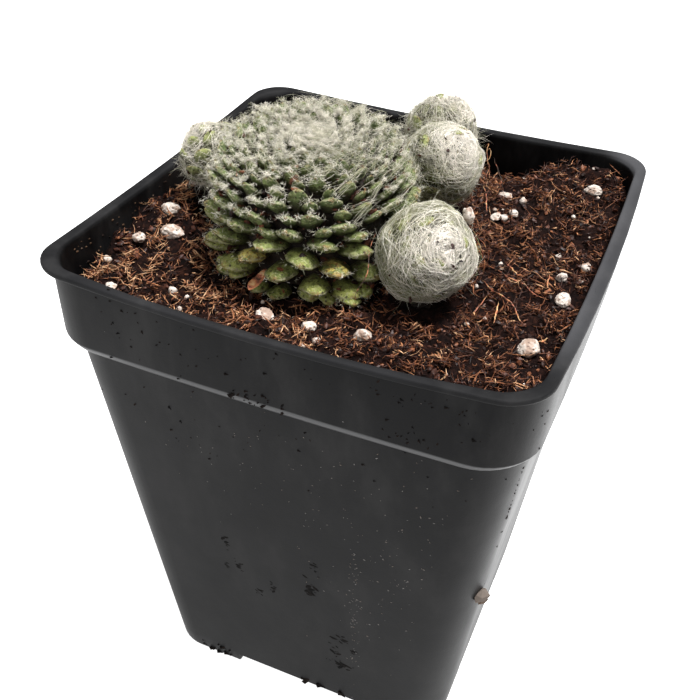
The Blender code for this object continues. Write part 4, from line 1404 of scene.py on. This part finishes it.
def makeBallLeaves(name, o, rng):
    # scale leaves wrapped round the ball, some of them bright and peeping out of the wool
    radius = o["radius"]
    master = pointsOf(leafMaster)
    copies, bright = [], []
    for turn, angle, width, length in ballLeaves(radius):
        lean = angle + (1 - master[:, 1]) * ball["lean"] * length / radius
        bright.append(rng.uniform() < o["peeping"])
        lift = tableAt(ball["lifts"], master[:, 1])
        lift = lift + rng.normal(0, 0.12) - master[:, 2] * 2 * ball["halfThickness"]
        lift = lift + (bright[-1] * ball["peepingLift"] + o["open"]) * master[:, 1]
        sideways = master[:, 0] * width / (radius * np.maximum(np.sin(lean), 0.15))
        copies.append(onBall(o, lean, turn + sideways, lift))
    count = len(copies)
    tone = 0.5 * rng.uniform(0, 1, count) + 0.7 * np.array(bright)
    return repeat(name + "_leaves", leafMaster, np.array(copies), keep=True, tone=tone, odd=np.zeros(count),
                  age=np.full(count, 0.3), along=np.tile(master[:, 1], (count, 1)),
                  edge=np.tile(edgeShare(leafMaster), (count, 1)))


def makeBallHeart(name, o):
    # the ball under the leaves, on its stem, painted dark as the shade under them
    middle, radius = overRim(o["place"]), o["radius"]
    bpy.ops.mesh.primitive_uv_sphere_add(segments=32, ring_count=18, radius=(radius - ball["sink"]) * mm,
                                         location=middle * mm)
    heart = settle(bpy.context.object, name + "_heart")
    bpy.ops.mesh.primitive_cylinder_add(vertices=16, radius=ball["stemRadius"] * mm, depth=18 * mm,
                                        location=(middle - up * 9) * mm)
    stem = settle(bpy.context.object, name + "_stem")
    only(heart)
    stem.select_set(True)
    bpy.ops.object.join()
    bpy.ops.object.shade_smooth()
    return heart


def makeWeb(name, o, rng, shift):
    # threads wound round the crown, crossing each other, closer together towards it
    radius, cap = o["radius"], 1 - math.cos(ball["reach"])
    count = int(math.tau * radius ** 2 * cap * o["threads"])
    start = np.arccos(1 - rng.uniform(0, 1, count) ** 1.15 * cap)
    turn = rng.uniform(0, math.tau, count)
    low, high = ball["strandLength"]
    length = low + (high - low) * rng.uniform(0, 1, count) ** 1.4
    patch = np.array([noise.noise(Vector((a * 2.2, t * 1.4, shift * 7))) for a, t in zip(start, turn)])
    heading = patch * ball["headingPatch"] + rng.normal(0, ball["heading"], count)
    ways = (onBall(o, start, turn, np.zeros(count)) - middleOf(o)) / radius
    aside = Vector((shift * 3, 0, 0))
    thin = np.array([noise.noise(Vector(way) / ball["thinSize"] + aside) for way in ways])
    keep = rng.uniform(0, 1, count) < ball["thinness"] * thin + tableAt(ball["kept"], start)
    start, turn, length, heading = start[keep], turn[keep], length[keep], heading[keep]
    count = len(start)
    part = np.linspace(-0.5, 0.5, 5)[None, :]
    swing = length * np.cos(heading) / (radius * np.maximum(np.sin(start), 0.28))
    drift = length * np.sin(heading) / radius
    wave = rng.normal(0, ball["strandWave"], (count, 1)) * np.sin(part * 8 + rng.uniform(0, 6, (count, 1)))
    angle = np.abs(start[:, None] + drift[:, None] * part + wave)
    around = turn[:, None] + swing[:, None] * part
    depth = rng.uniform(0, 1, (count, 1)) ** 0.8
    low, high = ball["webLift"]
    often, raised = ball["loose"]
    loose = np.maximum(0, rng.normal(0, raised, (count, 1))) * (rng.uniform(0, 1, (count, 1)) < often)
    paths = onBall(o, angle, around, low + (high - low) * depth + loose - 1.2 * part ** 2)
    thickness = rng.uniform(*ball["strandThickness"], count)
    # painted shade: threads lying deeper, nearer the ball, are made darker than the outer ones
    base, outer, stray = ball["webToneAndShade"]
    tone = base + outer * depth[:, 0] + rng.normal(0, stray, count) + tableAt(ball["whiter"], start)
    return strands(name + "_web", paths, thickness, np.clip(tone, 0, 1))


def makeFuzz(name, o, rng):
    # short curved hairs that stand off the ball, lying down or raised
    cap = 1 - math.cos(ball["reach"])
    count = int(math.tau * o["radius"] ** 2 * cap * o["fuzz"])
    start = np.arccos(1 - rng.uniform(0, 1, count) * cap)
    roots = onBall(o, start, rng.uniform(0, math.tau, count), np.full(count, -0.5))
    normals = unit(roots - middleOf(o))
    way = anyWay(rng, normals)
    raised = rng.uniform(*ball["fuzzLift"], (count, 1))
    run = way * np.cos(raised) + normals * np.sin(raised)
    bend = anyWay(rng, run) * rng.normal(0, ball["fuzzCurl"], (count, 1)) - normals * ball["fuzzDroop"]
    part = np.linspace(0, 1, 4)[None, :, None]
    least, most = (length * o["fuzzReach"] for length in ball["fuzzLength"])
    reach = rng.uniform(least, most, (count, 1, 1))
    paths = roots[:, None] + reach * (run[:, None] * part + bend[:, None] * part ** 2)
    thickness = rng.uniform(*ball["fuzzThickness"], count)
    tone = rng.uniform(0.1, 1, count) + tableAt(ball["fuzzWhiter"], start)
    return strands(name + "_fuzz", paths, thickness, np.clip(tone, 0, 1))


for number, (name, o) in enumerate(offsets.items()):
    rng = np.random.default_rng(ball["seed"] + number)
    dress(makeBallLeaves(name, o, rng), ballMaterial, "woolly_leaf", "offset_" + name)
    dress(makeBallHeart(name, o), heartShadeMaterial, "woolly_leaf")
    dress(makeWeb(name, o, rng, number), wool, "woolly_leaf")
    dress(makeFuzz(name, o, rng), wool, "woolly_leaf")
print("offsets made")


# Bits caught between the leaves

debris = {
    "caught": 900, "caughtFrom": (8, 26), "onEachBall": 16, "size": (0.18, 0.8), "ballSize": 0.6,
    "ballTone": 0.5, "seed": 47,
}


def makeDebris(d):
    # crumbs of compost and old leaf between the mother's leaves and on the offsets
    rng = np.random.default_rng(d["seed"])
    master = modelCrumb("debris_master", 1, 5, (1.0, 0.6, 0.35), 0.6)
    spots = []
    while len(spots) < d["caught"]:
        leaf = leaves[rng.integers(len(leaves))]
        if leaf["walked"] < rng.uniform(*d["caughtFrom"]):
            continue
        back, aside = rng.uniform(0.18, 0.75), rng.normal(0, 0.3)
        over = 0.35 * leaf["thickness"] + rng.uniform(-0.1, 0.4)
        spots.append(leaf["tip"] - leaf["along"] * back * leaf["length"]
                     + leaf["across"] * aside * leaf["width"] + leaf["outward"] * over)
    count = d["onEachBall"]
    for o in offsets.values():
        angle = np.arccos(rng.uniform(-0.3, 1, count))
        spots += list(onBall(o, angle, rng.uniform(0, math.tau, count), np.full(count, 0.1)))
    spots = np.array(spots)
    least, more = d["size"]
    sizes = least + more * rng.uniform(0, 1, len(spots)) ** 2.5
    sizes[d["caught"]:] *= d["ballSize"]
    tone = 0.6 * rng.uniform(0, 1, len(spots)) ** 1.3
    tone[d["caught"]:] *= d["ballTone"]
    return repeat("leaf_debris", master, strewn(rng, master, spots, sizes, 1.2, 0.5), smooth=False, tone=tone)


dress(makeDebris(debris), coir, "compost")
print("debris made")


# Dry leaves, rootlets and stalks

scraps = {
    "withered": {"tip": (-9.5, -29.0, -5.0), "run": (-0.2, -2.9, -0.75), "width": 3.0, "length": 5.6,
                 "roll": 0.3, "rolledUp": 1.1, "bent": 0.35, "crumple": 0.35, "flatness": 0.22, "tone": 0.56},
    # rootlets and stalks: thickness, tone, and places across, deep and up from the rim, or with None
    # just over the compost
    "threads": (
        (0.34, 0.55, ((21.6, -1.0, None), (23.3, -2.0, None), (26.2, -3.3, None), (28.8, -5.3, None),
                      (30.8, -4.1, None), (33.9, -6.9, None), (36.9, -7.3, None))),
        (0.42, 0.62, ((24.1, -7.7, None), (25.5, -8.6, None), (27.2, -10.1, None), (29.6, -11.9, None),
                      (31.3, -13.0, None), (33.2, -15.0, None), (34.9, -16.8, None))),
        (0.38, 0.72, ((26.5, -11.2, None), (25.5, -15.5, None), (25.7, -16.4, None), (26.7, -17.9, None))),
        (0.42, 0.68, ((26.4, 0.5, None), (28.1, -1.4, None), (29.9, -2.7, None))),
        (0.40, 0.75, ((34.8, -1.0, None), (34.9, -3.0, None), (35.4, -5.0, None))),
        (0.50, 0.80, ((28.8, -12.4, None), (29.6, -17.1, None), (29.8, -18.7, None))),
        (0.45, 0.85, ((37.5, -19.2, None), (38.2, -18.3, None), (38.7, -17.4, None))),
        (0.40, 0.66, ((15.4, 22.1, -3.0), (17.4, 17.4, -3.5), (18.6, 14.1, -4.5))),
        (0.34, 0.30, ((14.3, 31.3, -1.0), (18.2, 24.4, -2.0), (19.4, 22.4, -4.5))),
        (0.22, 0.42, ((6.9, -13.1, 4.0), (7.6, -18.9, 3.0), (9.6, -24.6, 0.5), (7.7, -26.0, -2.0),
                      (9.4, -27.3, -4.5))),
        (0.16, 0.10, ((-14.5, -22.0, 14.6), (-14.2, -23.6, 14.2), (-13.3, -25.4, 13.0))),
        (0.12, 0.80, ((12.9, 29.4, 0.0), (14.4, 27.6, 2.6), (15.4, 25.5, 1.4), (13.8, 24.8, 0.2),
                      (13.9, 26.9, 1.0))),
        (0.11, 0.72, ((11.8, 31.4, 0.4), (13.9, 29.1, 3.0), (13.6, 27.0, 2.2), (15.3, 24.6, 0.0),
                      (16.6, 21.5, -1.4))),
        (0.11, 0.62, ((13.9, 26.6, 1.0), (15.6, 24.2, 0.2), (15.6, 21.8, -1.0), (16.6, 19.8, -3.0))),
        (0.15, 0.60, ((21.5, -9.0, 4.6), (24.1, -9.5, 2.0), (25.1, -9.9, -0.5), (25.0, -10.4, -3.0))),
        (0.14, 0.64, ((21.0, -8.2, 5.0), (23.9, -8.4, 2.6), (25.6, -9.0, 0.5), (24.9, -9.4, -2.6))),
        (0.13, 0.58, ((22.0, -10.0, 4.0), (24.6, -10.6, 1.4), (25.7, -11.4, -1.0), (24.6, -12.0, -3.4))),
    ),
    "stations": 13, "overSoil": 1.5, "stray": 0.07, "seed": 61,
}


def scrapPaint():
    # dry leaf and root, from black-brown through red and orange to straw
    paint = Paint("dry_leaf", Roughness=0.6)
    tone = paint.value("tone") + (paint.grain(1.4, 4, 0.65) - 0.5) * 2.8
    colour = paint.ramp(tone, ((0.1, (0.012, 0.007, 0.005)), (0.4, (0.10, 0.045, 0.022)),
                               (0.6, (0.46, 0.14, 0.08)), (0.78, (0.52, 0.22, 0.08)),
                               (1.0, (0.66, 0.44, 0.22))))
    paint.feed("Base Color", colour)
    paint.feed("Normal", paint.bump(paint.grain(0.35, 3), 0.1))
    return paint.material


def makeDryLeaf(name, s):
    # one dead leaf, thin, rolled along its middle and crumpled
    only(leafMaster)
    bpy.ops.object.duplicate()
    item = bpy.context.object
    item.name = item.data.name = name
    run = Vector(s["run"]).normalized()
    across = run.cross(up).normalized()
    across = (Matrix.Rotation(s["roll"], 3, run) @ across).normalized()
    outward = across.cross(run)
    tip = overRim(s["tip"])
    for vert in item.data.vertices:
        side, along, rise = vert.co
        curl = s["rolledUp"] * side ** 2 * s["width"] + s["bent"] * s["length"] * (along - 0.5) ** 2
        crumple = s["crumple"] * noise.noise(Vector((side, along, 3)) * 3.5)
        place = tip - run * (1 - along) * s["length"] + across * side * s["width"]
        vert.co = (place + outward * (curl + crumple - s["flatness"] * rise)) * mm
    smoother = item.modifiers.new("smoother", "SUBSURF")
    smoother.levels = 2
    bpy.ops.object.modifier_apply(modifier=smoother.name)
    bpy.ops.object.shade_smooth()
    tones = item.data.attributes.new("tone", "FLOAT", "POINT")
    tones.data.foreach_set("value", [s["tone"]] * len(item.data.vertices))
    return item


def makeThreads(s):
    # rootlets and stalks through their places, with their bends softened
    rng = np.random.default_rng(s["seed"])
    share = np.linspace(0, 1, s["stations"])
    paths = []
    for _, _, places in s["threads"]:
        line = np.array([(x, y, soilTop(x, y) + s["overSoil"] if z is None else pot["height"] + z)
                         for x, y, z in places])
        walk = np.append(0, np.cumsum(np.linalg.norm(np.diff(line, axis=0), axis=1)))
        path = np.stack([np.interp(share, walk / walk[-1], line[:, axis]) for axis in range(3)], axis=1)
        soft = path.copy()
        soft[1:-1] = 0.25 * path[:-2] + 0.5 * path[1:-1] + 0.25 * path[2:]
        paths.append(soft + rng.normal(0, s["stray"], soft.shape))
    thickness, tone, _ = zip(*s["threads"])
    return strands("rootlets", np.array(paths), thickness, tone)


scrap = scrapPaint()
dress(makeDryLeaf("dry_leaf", scraps["withered"]), scrap, "dry_leaf", "withered_leaf")
dress(makeThreads(scraps), scrap, "dry_leaf")
print("scraps made")


bpy.data.objects.remove(leafMaster)
triangles = [(sum(len(face.vertices) - 2 for face in item.data.polygons), item.name)
             for item in bpy.context.scene.objects if item.type == "MESH"]
print("triangles:", sum(count for count, _ in triangles), "largest piece:", *max(triangles))
